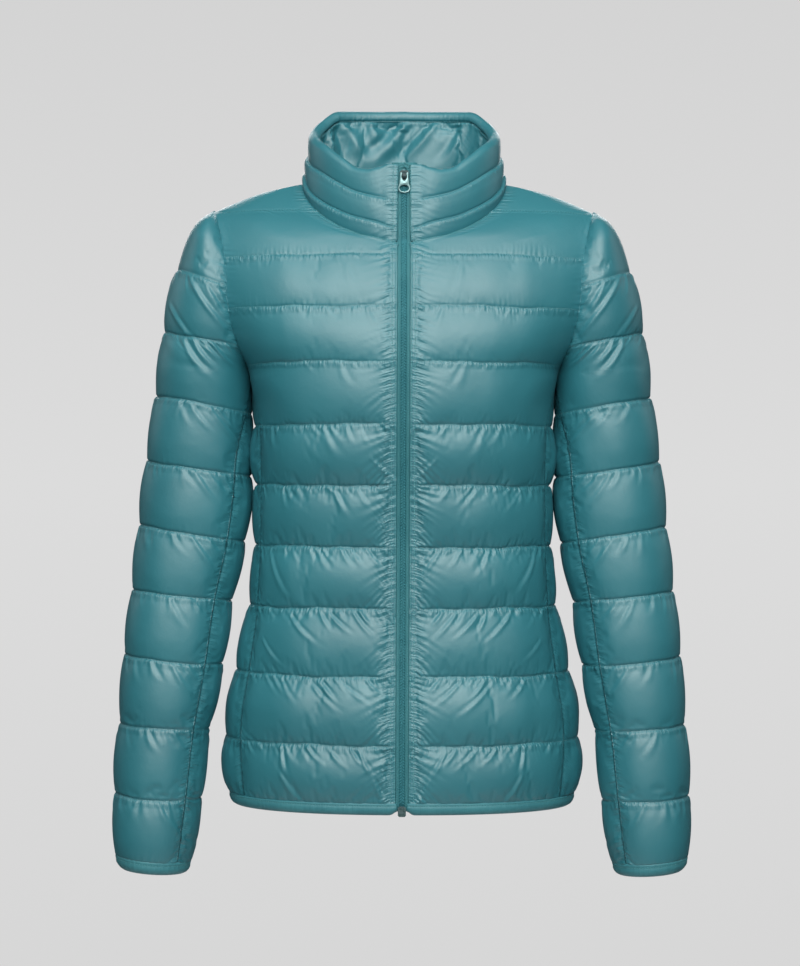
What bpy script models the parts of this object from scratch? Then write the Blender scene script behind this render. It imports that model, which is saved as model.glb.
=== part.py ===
"""A women's light down jacket, filled out and standing open as if worn.

Metres, +Z up.  The jacket faces -Y and the wearer's left side is +X.  The origin lies midway between
the two points where the shoulder seams meet the collar, which is where a neck carries it.

Every quilted piece is a grid of points on the jacket's form: its rows follow the quilting lines and
its columns run across the panel.  The wall is thin on each stitched line and swells between lines.
"""
import math

import bmesh
import bpy
import numpy as np
from mathutils import Matrix

# ------------------------------------------------------------------ driving sizes
SEAM_GAP = 0.0003            # between two pieces that are sewn together
SEAM_SPREAD = 2.8            # turns that gap into an angle of a body section, near its side
WALL = 0.0020                # the wall on a stitched line: both fabrics and what is caught between
BODY_LOFT = 0.0065           # how far a band swells past the wall
SLEEVE_LOFT = 0.0052
COLLAR_LOFT = 0.0036
FACING_WALL = 0.0026         # the collar's inner side, thinly padded
SWELL_POWER = 0.65           # under 1 makes a band rise steeply beside its stitched lines
SIDE_EASING = 0.45           # share of the loft that a body panel loses at its side
TIGHT_SHARE = 0.35           # share of the wall that is left where sleeve and body face each other
TIGHT_END = -0.330           # height below which the sleeve hangs clear and has its full wall

LENGTH = 0.596               # neck point to hem, straight down
NECK_HALF_WIDTH = 0.0965
NECK_FRONT_DROP = 0.0615
NECK_FRONT_DEPTH = 0.084
NECK_BACK_DEPTH = 0.062
NECK_DROP_POWER = 1.1
SQUARENESS = 2.3             # exponent of the body's oval sections, 2 is an ellipse

SHOULDER_DROP = 0.027        # height of the sleeve head below the neck point
ARMPIT = -0.188
ARMHOLE_REACH = 0.061        # how far the armhole reaches forward and back of the shoulder seam

BINDING_HEIGHT = 0.0105
BINDING_WALL = 0.0030
BINDING_TOP = -LENGTH + BINDING_HEIGHT
BINDING_INSIDE = 0.0006      # how far a binding's inner face lies inside the shell's
HEM_CORNER_RISE = 0.0045     # the hem binding's lower edge curves up beside the zip

ZIP_OPENING = 0.0062         # half the width between the front edges
ZIP_STRIP = 0.0065           # flat stitched strip of each front beside the zip
CHAIN_HALF_WIDTH = 0.0029
CHAIN_THICKNESS = 0.0018
TAPE_REACH = 0.0125          # outer edge of each tape from the centre
TAPE_THICKNESS = 0.0006
TAPE_GAP = 0.0005            # between a tape and the fronts that lie on it
TAPE_BOTTOM = -0.5850
ZIP_TOP = 0.0090             # top ends of the tapes
BOX_WIDTH = 0.0075
BOX_HEIGHT = 0.0090
BOX_THICKNESS = 0.0032
BOX_BOTTOM = -0.5975

SLIDER_CENTRE = 0.0005       # height of the slider, closed at the top
SLIDER_HEIGHT = 0.0110
SLIDER_TOP_WIDTH = 0.0084
SLIDER_END_WIDTH = 0.0066
SLIDER_PLATE = 0.0010
SLIDER_CLEARANCE = 0.0003
BAIL_WIDTH = 0.0028
PULL_AXIS_HEIGHT = 0.0015    # of the pull tab's pivot
PULL_AXIS_REACH = 0.0026     # from the slider's face to the pivot
PULL_THICKNESS = 0.0012

SHELL_COLOUR = (0.065, 0.235, 0.270, 1.0)
TAPE_COLOUR = (0.050, 0.190, 0.220, 1.0)
METAL_COLOUR = (0.55, 0.66, 0.68, 1.0)

# Heights of the quilting lines on the body, neck to hem binding.
BODY_QUILTS = (-0.029, -0.0745, -0.1235, -0.175, -0.2335, -0.290, -0.348, -0.4055, -0.4685, -0.532,
               BINDING_TOP)

# The shoulder seam: height and distance from the centre.
SHOULDER_SEAM = (
    # height, half width
    (0.000, 0.0965),
    (-0.004, 0.1222),
    (-0.0186, 0.1650),
    (-0.027, 0.1833),
)

# The side of the body: the armhole's distance from the centre down to the armpit, and the body's
# half width below it, measured on the quilting lines.
SIDE = (
    # height, half width
    (-0.027, 0.1833),
    (-0.0565, 0.1745),
    (-0.0817, 0.1700),
    (-0.1205, 0.1668),
    (-0.1435, 0.1620),
    (-0.1590, 0.1570),
    (-0.1745, 0.1510),
    (-0.1880, 0.1475),
    (-0.2335, 0.1415),
    (-0.2900, 0.1395),
    (-0.3480, 0.1400),
    (-0.4055, 0.1450),
    (-0.4685, 0.1580),
    (-0.5320, 0.1680),
    (-0.5855, 0.1640),
    (-0.5960, 0.1610),
)

# How far the body reaches forward of the shoulder seam, below the neckline's lowest point.
FRONT_DEPTH = (
    # height, depth
    (-0.0615, 0.0840),
    (-0.0745, 0.0935),
    (-0.0950, 0.1030),
    (-0.1235, 0.1110),
    (-0.1750, 0.1190),
    (-0.2335, 0.1160),
    (-0.2900, 0.1070),
    (-0.3480, 0.1010),
    (-0.4055, 0.1020),
    (-0.4685, 0.1080),
    (-0.5320, 0.1130),
    (-0.5855, 0.1130),
    (-0.5960, 0.1120),
)

# How far it reaches back.
BACK_DEPTH = (
    # height, depth
    (0.0000, 0.062),
    (-0.0130, 0.080),
    (-0.0290, 0.093),
    (-0.0615, 0.104),
    (-0.0950, 0.111),
    (-0.1235, 0.114),
    (-0.1750, 0.114),
    (-0.2335, 0.104),
    (-0.2900, 0.093),
    (-0.3480, 0.089),
    (-0.4055, 0.095),
    (-0.4685, 0.106),
    (-0.5320, 0.113),
    (-0.5960, 0.111),
)

# How far the side seam lies forward of the body's widest point, as an angle round the section.
SIDE_SEAM = (
    # height, degrees
    (-0.188, 0.0),
    (-0.212, 12.0),
    (-0.240, 19.0),
    (-0.350, 18.0),
    (-0.470, 26.0),
    (-0.596, 28.0),
)

# The collar, from the centre front (0 degrees) round to the centre back (180 degrees): heights of
# its two quilting lines and of its top edge.
COLLAR = (
    # degrees, lower line, upper line, top edge
    (0.0, -0.0520, -0.0230, 0.0125),
    (8.0, -0.0475, -0.0215, 0.0130),
    (15.0, -0.0430, -0.0190, 0.0085),
    (23.0, -0.0395, -0.0160, 0.0062),
    (32.0, -0.0355, -0.0115, 0.0085),
    (43.0, -0.0285, -0.0035, 0.0180),
    (60.0, -0.0165, 0.0090, 0.0324),
    (75.0, -0.0040, 0.0175, 0.0410),
    (90.0, 0.0110, 0.0270, 0.0490),
    (115.0, 0.0190, 0.0390, 0.0644),
    (136.0, 0.0230, 0.0460, 0.0765),
    (180.0, 0.0250, 0.0490, 0.0790),
)
COLLAR_TOP_HALF_WIDTH = 0.0885
COLLAR_TOP_FRONT = 0.0745
COLLAR_TOP_BACK = 0.0640

# The wearer's left sleeve.  Line 0 is the top of the sleeve head, lines 1 to 9 are quilted, line 10
# is the top of the cuff binding and line 11 its edge.  The outer point lies on the top of the arm, the
# inner one on the armhole or under the arm.  Depth is half the line's front-to-back size.
SLEEVE = (
    # line, outer x, outer z, inner x, inner z, half depth, centre y
    (0.00, 0.1838, -0.0272, 0.1833, -0.0270, 0.0100, 0.0000),
    (0.25, 0.1980, -0.0385, 0.1790, -0.0420, 0.0440, 0.0000),
    (0.50, 0.2075, -0.0540, 0.1735, -0.0620, 0.0590, 0.0000),
    (1.00, 0.2170, -0.0840, 0.1690, -0.1020, 0.0650, 0.0000),
    (2.00, 0.2290, -0.1440, 0.1572, -0.1580, 0.0625, 0.0000),
    (3.00, 0.2365, -0.2050, 0.1530, -0.2215, 0.0570, -0.0010),
    (4.00, 0.2450, -0.2676, 0.1515, -0.2822, 0.0530, -0.0030),
    (5.00, 0.2515, -0.3297, 0.1560, -0.3443, 0.0505, -0.0060),
    (6.00, 0.2590, -0.3908, 0.1680, -0.4010, 0.0480, -0.0100),
    (7.00, 0.2675, -0.4539, 0.1765, -0.4625, 0.0465, -0.0145),
    (8.00, 0.2725, -0.5189, 0.1875, -0.5245, 0.0440, -0.0195),
    (9.00, 0.2785, -0.5858, 0.1955, -0.5906, 0.0420, -0.0250),
    (10.0, 0.2785, -0.6440, 0.2045, -0.6500, 0.0375, -0.0300),
    (11.0, 0.2755, -0.6570, 0.2085, -0.6610, 0.0340, -0.0312),
)
SLEEVE_BINDING_LINE = 10.0
SLEEVE_EDGE_LINE = 11.0

# The sleeve's own seam runs down from the armpit and turns to the front.
SLEEVE_SEAM = (
    # line, degrees forward of the innermost point
    (2.4, 0.0),
    (3.0, 24.0),
    (4.0, 42.0),
    (11.0, 46.0),
)

# The pull tab's right half: its fork, from the tip of the prong down to the foot of the notch, and
# the outer edge of its ring.  Heights are above the pivot.
PULL_FORK = (
    # inner x, inner height, outer x, outer height
    (0.0021, 0.0014, 0.0030, 0.0018),
    (0.0017, 0.0009, 0.0038, 0.0012),
    (0.0017, -0.0009, 0.0039, -0.0009),
    (0.0021, -0.0014, 0.0040, -0.0016),
    (0.0019, -0.0034, 0.0041, -0.0034),
    (0.0013, -0.0050, 0.0042, -0.0054),
    (0.0000, -0.0058, 0.0044, -0.0075),
)
PULL_RING = (
    # x, height
    (0.0047, -0.0091),
    (0.0051, -0.0103),
    (0.0055, -0.0115),
    (0.0057, -0.0129),
    (0.0055, -0.0143),
    (0.0049, -0.0156),
    (0.0037, -0.0167),
    (0.0020, -0.0174),
    (0.0000, -0.0176),
)
PULL_HOLE_CENTRE = -0.0132
PULL_HOLE_WIDTH = 0.0090
PULL_HOLE_HEIGHT = 0.0058

# Cross-section of a binding, top to bottom.
BINDING_ROWS = (
    # share of its height, bulge
    (0.03, 0.0),
    (0.5, 0.0005),
    (1.0, -0.0004),
)

# Positions between two quilting lines where a row of points lies, as a share of the band.
BAND_ROWS = (0.0, 0.28, 0.72)
BACK_TOP_ROWS = (0.18, 0.45, 0.75)
CAP_ROWS = (0.004, 0.03, 0.10, 0.25, 0.5, 0.75)
# Angles round the neck seam, from the centre front, where the front panels and collar share a point.
NECK_ANGLES = (88.5, 79.0, 69.0, 61.8, 59.7, 51.0, 41.0, 30.0, 20.0, 12.0, 3.7)
FRONT_COLUMNS = 10
BACK_HALF_COLUMNS = 8
SLEEVE_COLUMNS = 14
CUFF_COLUMNS = 14
HEM_HALF_COLUMNS = 16


# ------------------------------------------------------------------ curves through the tables
def smooth(rows, column=1):
    """A smooth function through a table's rows, of its first column, that never overshoots."""
    table = np.array(sorted(rows), dtype=float)
    x, y = table[:, 0], table[:, column]
    step, rise = np.diff(x), np.diff(y)
    slope = rise / step
    tangent = np.zeros(len(x))
    tangent[0], tangent[-1] = slope[0], slope[-1]
    for k in range(1, len(x) - 1):
        if slope[k - 1] * slope[k] > 0:
            near, far = 2 * step[k] + step[k - 1], step[k] + 2 * step[k - 1]
            tangent[k] = (near + far) / (near / slope[k - 1] + far / slope[k])

    def value(at):
        at = min(max(at, x[0]), x[-1])
        k = min(int(np.searchsorted(x, at, side="right")) - 1, len(step) - 1)
        t = (at - x[k]) / step[k]
        return ((1 + 2 * t) * (1 - t) ** 2 * y[k] + t * (1 - t) ** 2 * step[k] * tangent[k]
                + t * t * (3 - 2 * t) * y[k + 1] + t * t * (t - 1) * step[k] * tangent[k + 1])
    return value


shoulder_x = smooth(SHOULDER_SEAM)
side_x = smooth(SIDE)
front_depth = smooth(FRONT_DEPTH)
back_depth = smooth(BACK_DEPTH)
side_seam_angle = smooth(SIDE_SEAM)
collar_lower, collar_upper, collar_top = (smooth(COLLAR, k) for k in (1, 2, 3))
sleeve_seam_angle = smooth(SLEEVE_SEAM)
sleeve_values = [smooth(SLEEVE, k) for k in range(1, 7)]


def unit(vector):
    vector = np.asarray(vector, dtype=float)
    return vector / max(np.linalg.norm(vector), 1e-12)


SHOULDER_NORMAL = unit((0.3, 0.0, 1.0))


def ramp(value, start, end):
    """0 before start, 1 after end, smooth between."""
    t = min(max((value - start) / (end - start), 0.0), 1.0)
    return t * t * (3 - 2 * t)


# ------------------------------------------------------------------ the body's form
def armhole_height(z):
    """A height as a share of the armhole's half height: 1 at the shoulder, -1 at the armpit."""
    middle, half = (ARMPIT - SHOULDER_DROP) / 2, (-SHOULDER_DROP - ARMPIT) / 2
    return min(max((z - middle) / half, -1.0), 1.0)


def armhole_depth(z):
    """How far the armhole lies forward or back of the shoulder seam at a height."""
    return ARMHOLE_REACH * math.sqrt(1 - armhole_height(z) ** 2)


def armhole_direction(z, front):
    """The way both walls thicken along the armhole seam: out of its loop."""
    share = armhole_height(z)
    along = math.sqrt(1 - share * share)
    return unit((0.10 * (1 + share), -along if front else along, share))


def neck_share(z):
    """The cosine of the neckline's angle at a height, 1 at the centre front."""
    return min(max(-z / NECK_FRONT_DROP, 0.0), 1.0) ** (1 / NECK_DROP_POWER)


def neck_direction(angle):
    """The way both walls thicken along the neck seam, at an angle from the centre front."""
    up = 0.35 + 0.65 * math.sin(angle)
    return unit((math.sin(angle), -math.cos(angle), up))


def edge_of_body(z):
    """Distance from the centre and depth where a section ends: shoulder, armhole or side."""
    if z > -SHOULDER_DROP:
        return shoulder_x(z), 0.0
    return side_x(z), armhole_depth(z)


def section(z, front):
    """The oval of the body's front or back at a height: half width, depth, angle where it ends."""
    edge_x, edge_y = edge_of_body(z)
    if front and z > -NECK_FRONT_DROP:
        share = neck_share(z)
        neck_x = (NECK_HALF_WIDTH * math.sqrt(1 - share * share)) ** SQUARENESS
        neck_y = (NECK_FRONT_DEPTH * share) ** SQUARENESS
        far_x, far_y = edge_x ** SQUARENESS, edge_y ** SQUARENESS
        crossing = neck_x * far_y - far_x * neck_y
        depth = ((neck_x - far_x) / crossing) ** (-1 / SQUARENESS)
    else:
        depth = front_depth(z) if front else back_depth(z)
    ratio = (edge_y / depth) ** SQUARENESS
    half_width = edge_x / (1 - ratio) ** (1 / SQUARENESS)
    return half_width, depth, math.acos(math.sqrt(ratio))


def body_point(z, angle, front):
    """A point of the wearer's left half.  The angle runs from the centre line to the side."""
    half_width, depth, _ = section(z, front)
    across = max(math.sin(angle), 0.0) ** (2 / SQUARENESS)
    along = max(math.cos(angle), 0.0) ** (2 / SQUARENESS)
    return np.array([half_width * across, (-depth if front else depth) * along, z])


def angle_at(z, x):
    """The front section's angle at a distance from the centre."""
    return math.asin(min(x / section(z, True)[0], 1.0) ** (SQUARENESS / 2))


def side_seam(z, side):
    """The side seam's point at a height, half a gap to one side of it: -1 is front and 1 is back."""
    half_gap = side * SEAM_GAP / 2 / section(z, True)[0]
    return body_point(z, math.pi / 2 - math.radians(side_seam_angle(z)) + half_gap * SEAM_SPREAD, True)


def side_seam_normal(z):
    """The way out of the body at the side seam."""
    along = side_seam(z - 0.004, 0) - side_seam(z + 0.004, 0)
    across = side_seam(z, 20) - side_seam(z, -20)
    normal = unit(np.cross(along, across))
    return normal if normal[0] > 0 else -normal


def front_angles(z):
    """Where a front panel starts and ends on the section at a height."""
    start_x = ZIP_OPENING
    if z > -NECK_FRONT_DROP:
        start_x = max(NECK_HALF_WIDTH * math.sqrt(1 - neck_share(z) ** 2), ZIP_OPENING)
    end = section(z, True)[2]
    if z <= ARMPIT:
        end -= math.radians(side_seam_angle(z))
    return angle_at(z, start_x), end


def neck_seam_height(angle):
    return -NECK_FRONT_DROP * max(math.cos(angle), 0.0) ** NECK_DROP_POWER


def band_rows():
    """Heights of the rows below the second quilting line, with one on the armpit and one above it."""
    heights = []
    for top, bottom in zip(BODY_QUILTS[1:], BODY_QUILTS[2:]):
        heights += [top + (bottom - top) * share for share in BAND_ROWS]
    nearest = min(range(len(heights)), key=lambda k: abs(heights[k] - ARMPIT))
    heights[nearest] = ARMPIT
    heights.insert(nearest, ARMPIT + 0.005)
    return heights + [BODY_QUILTS[-1]]


def band_share(z):
    """How far down its band a height lies, 0 on a quilting line."""
    lines = (0.0,) + BODY_QUILTS
    for top, bottom in zip(lines, lines[1:]):
        if bottom < z - 1e-6 and z <= top + 1e-6:
            return min(max((z - top) / (bottom - top), 0.0), 1.0)
    return 0.0


# ------------------------------------------------------------------ walls
def grid_normals(grid, axis_points):
    """Unit normals of a grid of points, facing away from an axis point given for each."""
    down = np.gradient(grid, axis=0)
    across = np.gradient(grid, axis=1)
    normals = np.cross(down, across)
    normals /= np.maximum(np.linalg.norm(normals, axis=2, keepdims=True), 1e-12)
    facing = np.sum(normals * (grid - axis_points), axis=2, keepdims=True)
    return normals * np.where(facing < 0, -1.0, 1.0)


def body_axis(grid):
    """Points on the body's middle line, a little below each grid point."""
    axis = np.zeros_like(grid)
    axis[..., 2] = np.minimum(grid[..., 2] - 0.03, -0.06)
    return axis


def swell(share):
    """Height of a band between its two stitched lines, 0 to 1."""
    return math.sin(math.pi * share) ** SWELL_POWER if 0.001 < share < 0.999 else 0.0


def side_room(z):
    """How much of its thickness a wall has where sleeve and body face each other."""
    return TIGHT_SHARE + (1 - TIGHT_SHARE) * ramp(-z, -ARMPIT, -TIGHT_END)


def body_thickness(heights, shares, free):
    """Thickness of a body panel at each point of its grid.

    Shares run from the centre line to the side, and free is 0 to 1: how clear of its edges a point is.
    """
    rise = np.array([swell(band_share(z)) for z in heights])[:, None]
    near_side = ramp_grid(np.array(shares), 0.6, 0.95)[None, :]
    room = 1 - (1 - np.array([side_room(z) for z in heights])[:, None]) * near_side
    return (WALL + BODY_LOFT * rise * free * (1 - SIDE_EASING * near_side)) * room


def ramp_grid(values, start, end):
    t = np.clip((values - start) / (end - start), 0.0, 1.0)
    return t * t * (3 - 2 * t)


def mesh_object(name, vertices, faces, material):
    """An object from plain lists, split into triangles, with its faces turned outwards."""
    work = bmesh.new()
    corners = [work.verts.new(v) for v in vertices]
    for face in faces:
        work.faces.new([corners[k] for k in face])
    for corner in [v for v in work.verts if not v.link_faces]:
        work.verts.remove(corner)
    bmesh.ops.recalc_face_normals(work, faces=work.faces[:])
    bmesh.ops.triangulate(work, faces=work.faces[:])
    if work.calc_volume(signed=True) < 0:
        bmesh.ops.reverse_faces(work, faces=work.faces[:])
    mesh = bpy.data.meshes.new(name)
    work.to_mesh(mesh)
    work.free()
    mesh.shade_smooth()
    mesh.set_sharp_from_angle(angle=math.radians(40))
    mesh.materials.append(material)
    thing = bpy.data.objects.new(name, mesh)
    bpy.context.collection.objects.link(thing)
    return thing


def wall_object(name, outer, inner, material, inner_rows=None, ring=False):
    """A closed wall between two grids of points.

    inner_rows lists the rows that the inner face keeps, and a ring joins its last column to its first.
    """
    rows, columns = outer.shape[:2]
    kept = list(range(rows)) if inner_rows is None else inner_rows
    vertices = [tuple(p) for p in outer.reshape(-1, 3)] + [tuple(p) for p in inner.reshape(-1, 3)]
    steps = columns if ring else columns - 1
    faces = []

    def out(r, c):
        return r * columns + c % columns

    def back(r, c):
        return rows * columns + out(r, c)

    for r in range(rows - 1):
        faces += [(out(r, c), out(r + 1, c), out(r + 1, c + 1), out(r, c + 1)) for c in range(steps)]
    for r, low in zip(kept, kept[1:]):
        faces += [(back(r, c + 1), back(low, c + 1), back(low, c), back(r, c)) for c in range(steps)]
    last, end = rows - 1, columns - 1
    for c in range(steps):
        faces += [(out(0, c), out(0, c + 1), back(0, c + 1)), (out(0, c), back(0, c + 1), back(0, c))]
        faces += [(out(last, c + 1), out(last, c), back(last, c + 1)),
                  (back(last, c + 1), out(last, c), back(last, c))]
    if not ring:
        for r, low in zip(kept, kept[1:]):
            faces += [(back(r, 0), back(low, 0), out(low, 0)), (back(low, end), back(r, end), out(low, end))]
            faces += [(back(r, 0), out(k + 1, 0), out(k, 0)) for k in range(r, low)]
            faces += [(back(r, end), out(k, end), out(k + 1, end)) for k in range(r, low)]
    return mesh_object(name, vertices, faces, material)


def right_side(points):
    """The same points for the wearer's right side."""
    return points * np.array([-1.0, 1.0, 1.0])


# ------------------------------------------------------------------ front and back panels
def front_panel():
    """Outer and inner points of the wearer's left front, and the rows its inner face keeps."""
    heights = [neck_seam_height(math.radians(angle)) for angle in NECK_ANGLES] + band_rows()
    shares = np.linspace(0.0, 1.0, FRONT_COLUMNS)
    grid = np.zeros((len(heights), FRONT_COLUMNS, 3))
    for r, z in enumerate(heights):
        start, end = front_angles(z)
        width = np.linalg.norm(body_point(z, end, True) - body_point(z, start, True))
        strip = min(max(ZIP_STRIP / width, 0.022), 0.5)
        row_shares = [0.0] + list(np.linspace(strip, 1.0, FRONT_COLUMNS - 1))
        for c, share in enumerate(row_shares):
            grid[r, c] = body_point(z, start + (end - start) * share, True)
    normals = grid_normals(grid, body_axis(grid))
    for r, z in enumerate(heights):
        if z > -NECK_FRONT_DROP:
            normals[r, 0] = neck_direction(math.acos(neck_share(z)))
        if z >= -SHOULDER_DROP - 1e-4:
            normals[r, -1] = SHOULDER_NORMAL
            grid[r, -1, 1] -= SEAM_GAP / 2
        elif z > ARMPIT:
            normals[r, -1] = armhole_direction(z, True)
            grid[r, -1, 0] -= SEAM_GAP / 2
        else:
            normals[r, -1] = side_seam_normal(z)
            grid[r, -1] = side_seam(z, -1)
    from_edge = np.linalg.norm(grid - grid[:, :1], axis=2)
    free = ramp_grid(from_edge, ZIP_STRIP, 3 * ZIP_STRIP) * (shares < 0.999)
    outer = grid + normals * body_thickness(heights, shares, free)[..., None]
    inner_rows = [r for r, z in enumerate(heights) if z > ARMPIT - 0.01 or band_share(z) in (0.0, 1.0)]
    return outer, grid, inner_rows


def back_half():
    """Points of the back from its centre to the wearer's left side seam, and its rows' heights."""
    heights = [0.0, -0.010, -0.020, -SHOULDER_DROP, BODY_QUILTS[0]]
    heights += [BODY_QUILTS[0] + (BODY_QUILTS[1] - BODY_QUILTS[0]) * share for share in BACK_TOP_ROWS]
    heights += band_rows()
    grid = np.zeros((len(heights), BACK_HALF_COLUMNS + 1, 3))
    for r, z in enumerate(heights):
        end = section(z, False)[2]
        reach = end + (math.radians(side_seam_angle(z)) if z <= ARMPIT else 0.0)
        for c in range(BACK_HALF_COLUMNS + 1):
            angle = reach * c / BACK_HALF_COLUMNS
            past_side = angle - end
            grid[r, c] = (body_point(z, angle, False) if past_side <= 1e-9
                          else body_point(z, math.pi / 2 - past_side, True))
    return grid, heights


def back_panel():
    """Outer and inner points of the back, and the rows its inner face keeps."""
    half, heights = back_half()
    normals = grid_normals(half, body_axis(half))
    normals[:, 0, 0] = 0.0
    for c in range(BACK_HALF_COLUMNS + 1):
        normals[0, c] = neck_direction(math.pi - math.pi / 2 * c / BACK_HALF_COLUMNS)
    for r, z in enumerate(heights):
        if z >= -SHOULDER_DROP - 1e-4:
            half[r, -1, 1] += SEAM_GAP / 2
            if z < 0:
                normals[r, -1] = SHOULDER_NORMAL
        elif z > ARMPIT:
            normals[r, -1] = armhole_direction(z, False)
            half[r, -1, 0] -= SEAM_GAP / 2
        else:
            normals[r, -1] = side_seam_normal(z)
            half[r, -1] = side_seam(z, 1)
    shares = np.linspace(0, 1, BACK_HALF_COLUMNS + 1)
    free = ramp_grid(-np.array(heights), 0.0, 0.012)[:, None] * (shares < 0.999)[None, :]
    outer = half + normals * body_thickness(heights, shares, free)[..., None]
    inner_rows = [r for r, z in enumerate(heights) if z > ARMPIT - 0.01 or band_share(z) in (0.0, 1.0)]
    whole = [np.concatenate([right_side(points)[:, :0:-1], points], axis=1) for points in (outer, half)]
    return whole[0], whole[1], inner_rows


# ------------------------------------------------------------------ sleeves
def armpit_line():
    """The sleeve line whose inner point is the armpit."""
    low, high = 2.0, 3.0
    for _ in range(40):
        middle = (low + high) / 2
        low, high = (middle, high) if sleeve_values[3](middle) > ARMPIT else (low, middle)
    return high


def sleeve_ring(line):
    """Centre, way to the outer point, half width, half depth and first angle of a sleeve line."""
    outer_x, outer_z, inner_x, inner_z, depth, centre_y = (value(line) for value in sleeve_values)
    first = 0.0
    if inner_z > ARMPIT:
        inner_x, centre_y = side_x(inner_z), 0.0
        depth = max(depth, armhole_depth(inner_z) * 1.03)
        first = math.asin(armhole_depth(inner_z) / depth)
    outer = np.array([outer_x, centre_y, outer_z])
    inner = np.array([inner_x, centre_y, inner_z])
    half_width = np.linalg.norm(outer - inner) / (1 + math.cos(first))
    outward = unit(outer - inner)
    return outer - outward * half_width, outward, half_width, depth, first


def sleeve_point(line, angle):
    """A point of a sleeve line.  Angle 0 is under the arm, a quarter turn is at the front."""
    centre, outward, half_width, depth, _ = sleeve_ring(line)
    across = -outward * half_width * math.cos(angle)
    return centre + across + np.array([0.0, -depth * math.sin(angle), 0.0])


def sleeve_lines():
    """Sleeve lines of the rows, with one on the armpit and one above it."""
    lines = list(CAP_ROWS)
    for line in range(1, int(SLEEVE_BINDING_LINE)):
        lines += [line + share for share in BAND_ROWS]
    pit = armpit_line()
    nearest = min(range(len(lines)), key=lambda k: abs(lines[k] - pit))
    lines[nearest] = pit
    lines.insert(nearest, pit - 0.10)
    return lines + [SLEEVE_BINDING_LINE]


def sleeve_panel():
    """Outer and inner points of the wearer's left sleeve, and the rows its inner face keeps."""
    lines, pit = sleeve_lines(), armpit_line()
    grid = np.zeros((len(lines), SLEEVE_COLUMNS, 3))
    axis = np.zeros_like(grid)
    for r, line in enumerate(lines):
        centre, _, half_width, _, first = sleeve_ring(line)
        start, end = first, 2 * math.pi - first
        if line >= pit:
            slit = SEAM_GAP / 2 / half_width
            start = math.radians(sleeve_seam_angle(line)) + slit
            end = start + 2 * (math.pi - slit)
        for c, angle in enumerate(np.linspace(start, end, SLEEVE_COLUMNS)):
            grid[r, c] = sleeve_point(line, angle)
        axis[r] = centre
    normals = grid_normals(grid, axis)
    facing_body = np.array([[0.5 - 0.5 * unit(p)[0] for p in row] for row in grid - axis])
    for r, line in enumerate(lines):
        if line <= pit:
            for c, front in ((0, True), (-1, False)):
                normals[r, c] = armhole_direction(sleeve_values[3](line), front)
                grid[r, c, 0] += SEAM_GAP / 2
    rise = np.array([swell(line - math.floor(line)) for line in lines])[:, None]
    flat = np.array([0.0] + [1.0] * (SLEEVE_COLUMNS - 2) + [0.0])[None, :]
    tight = 1 - np.vectorize(side_room)(grid[..., 2])
    room = 1 - tight * ramp_grid(facing_body, 0.5, 0.9)
    outer = grid + normals * ((WALL + SLEEVE_LOFT * rise * flat) * room)[..., None]
    inner_rows = [r for r, line in enumerate(lines) if line < 3 or line == math.floor(line)]
    return outer, grid, inner_rows


def cuff_binding():
    """Outer and inner points of the wearer's left cuff binding."""
    height = SLEEVE_EDGE_LINE - SLEEVE_BINDING_LINE
    outer = np.zeros((len(BINDING_ROWS), CUFF_COLUMNS, 3))
    inner = np.zeros_like(outer)
    for r, (share, bulge) in enumerate(BINDING_ROWS):
        line = SLEEVE_BINDING_LINE + height * share
        centre = sleeve_ring(line)[0]
        for c in range(CUFF_COLUMNS):
            point = sleeve_point(line, 2 * math.pi * c / CUFF_COLUMNS)
            away = unit(point - centre)
            outer[r, c] = point + away * (BINDING_WALL - BINDING_INSIDE + bulge)
            inner[r, c] = point - away * BINDING_INSIDE
    return outer, inner


# ------------------------------------------------------------------ collar
def neck_ring(angle, half_width, front, back):
    """A point of a neck ring seen from above, at an angle from the centre front."""
    if angle <= math.pi / 2:
        return np.array([half_width * math.sin(angle), -front * math.cos(angle)])
    across = math.sin(angle) ** (2 / SQUARENESS)
    along = abs(math.cos(angle)) ** (2 / SQUARENESS)
    return np.array([half_width * across, back * along])


def collar_point(angle, height):
    """A point of the collar's left half: height is 0 on the neck seam and 1 on the top edge."""
    base, top = neck_seam_height(angle), collar_top(math.degrees(angle))
    low = neck_ring(angle, NECK_HALF_WIDTH, NECK_FRONT_DEPTH, NECK_BACK_DEPTH)
    high = neck_ring(angle, COLLAR_TOP_HALF_WIDTH, COLLAR_TOP_FRONT, COLLAR_TOP_BACK)
    flat = low + (high - low) * height
    return np.array([flat[0], flat[1], base + (top - base) * height])


def collar_heights(angle, shares):
    """Shares of the collar's height for its rows, each with its share of its band."""
    degrees = math.degrees(angle)
    base, top = neck_seam_height(angle), collar_top(degrees)
    quilted = [(quilt(degrees) - base) / (top - base) for quilt in (collar_lower, collar_upper)]
    lines = [0.0] + quilted + [1.0]
    rows = []
    for low, high in zip(lines, lines[1:]):
        rows += [(low + (high - low) * share, share) for share in shares]
    return rows + [(1.0, 0.0)]


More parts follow.
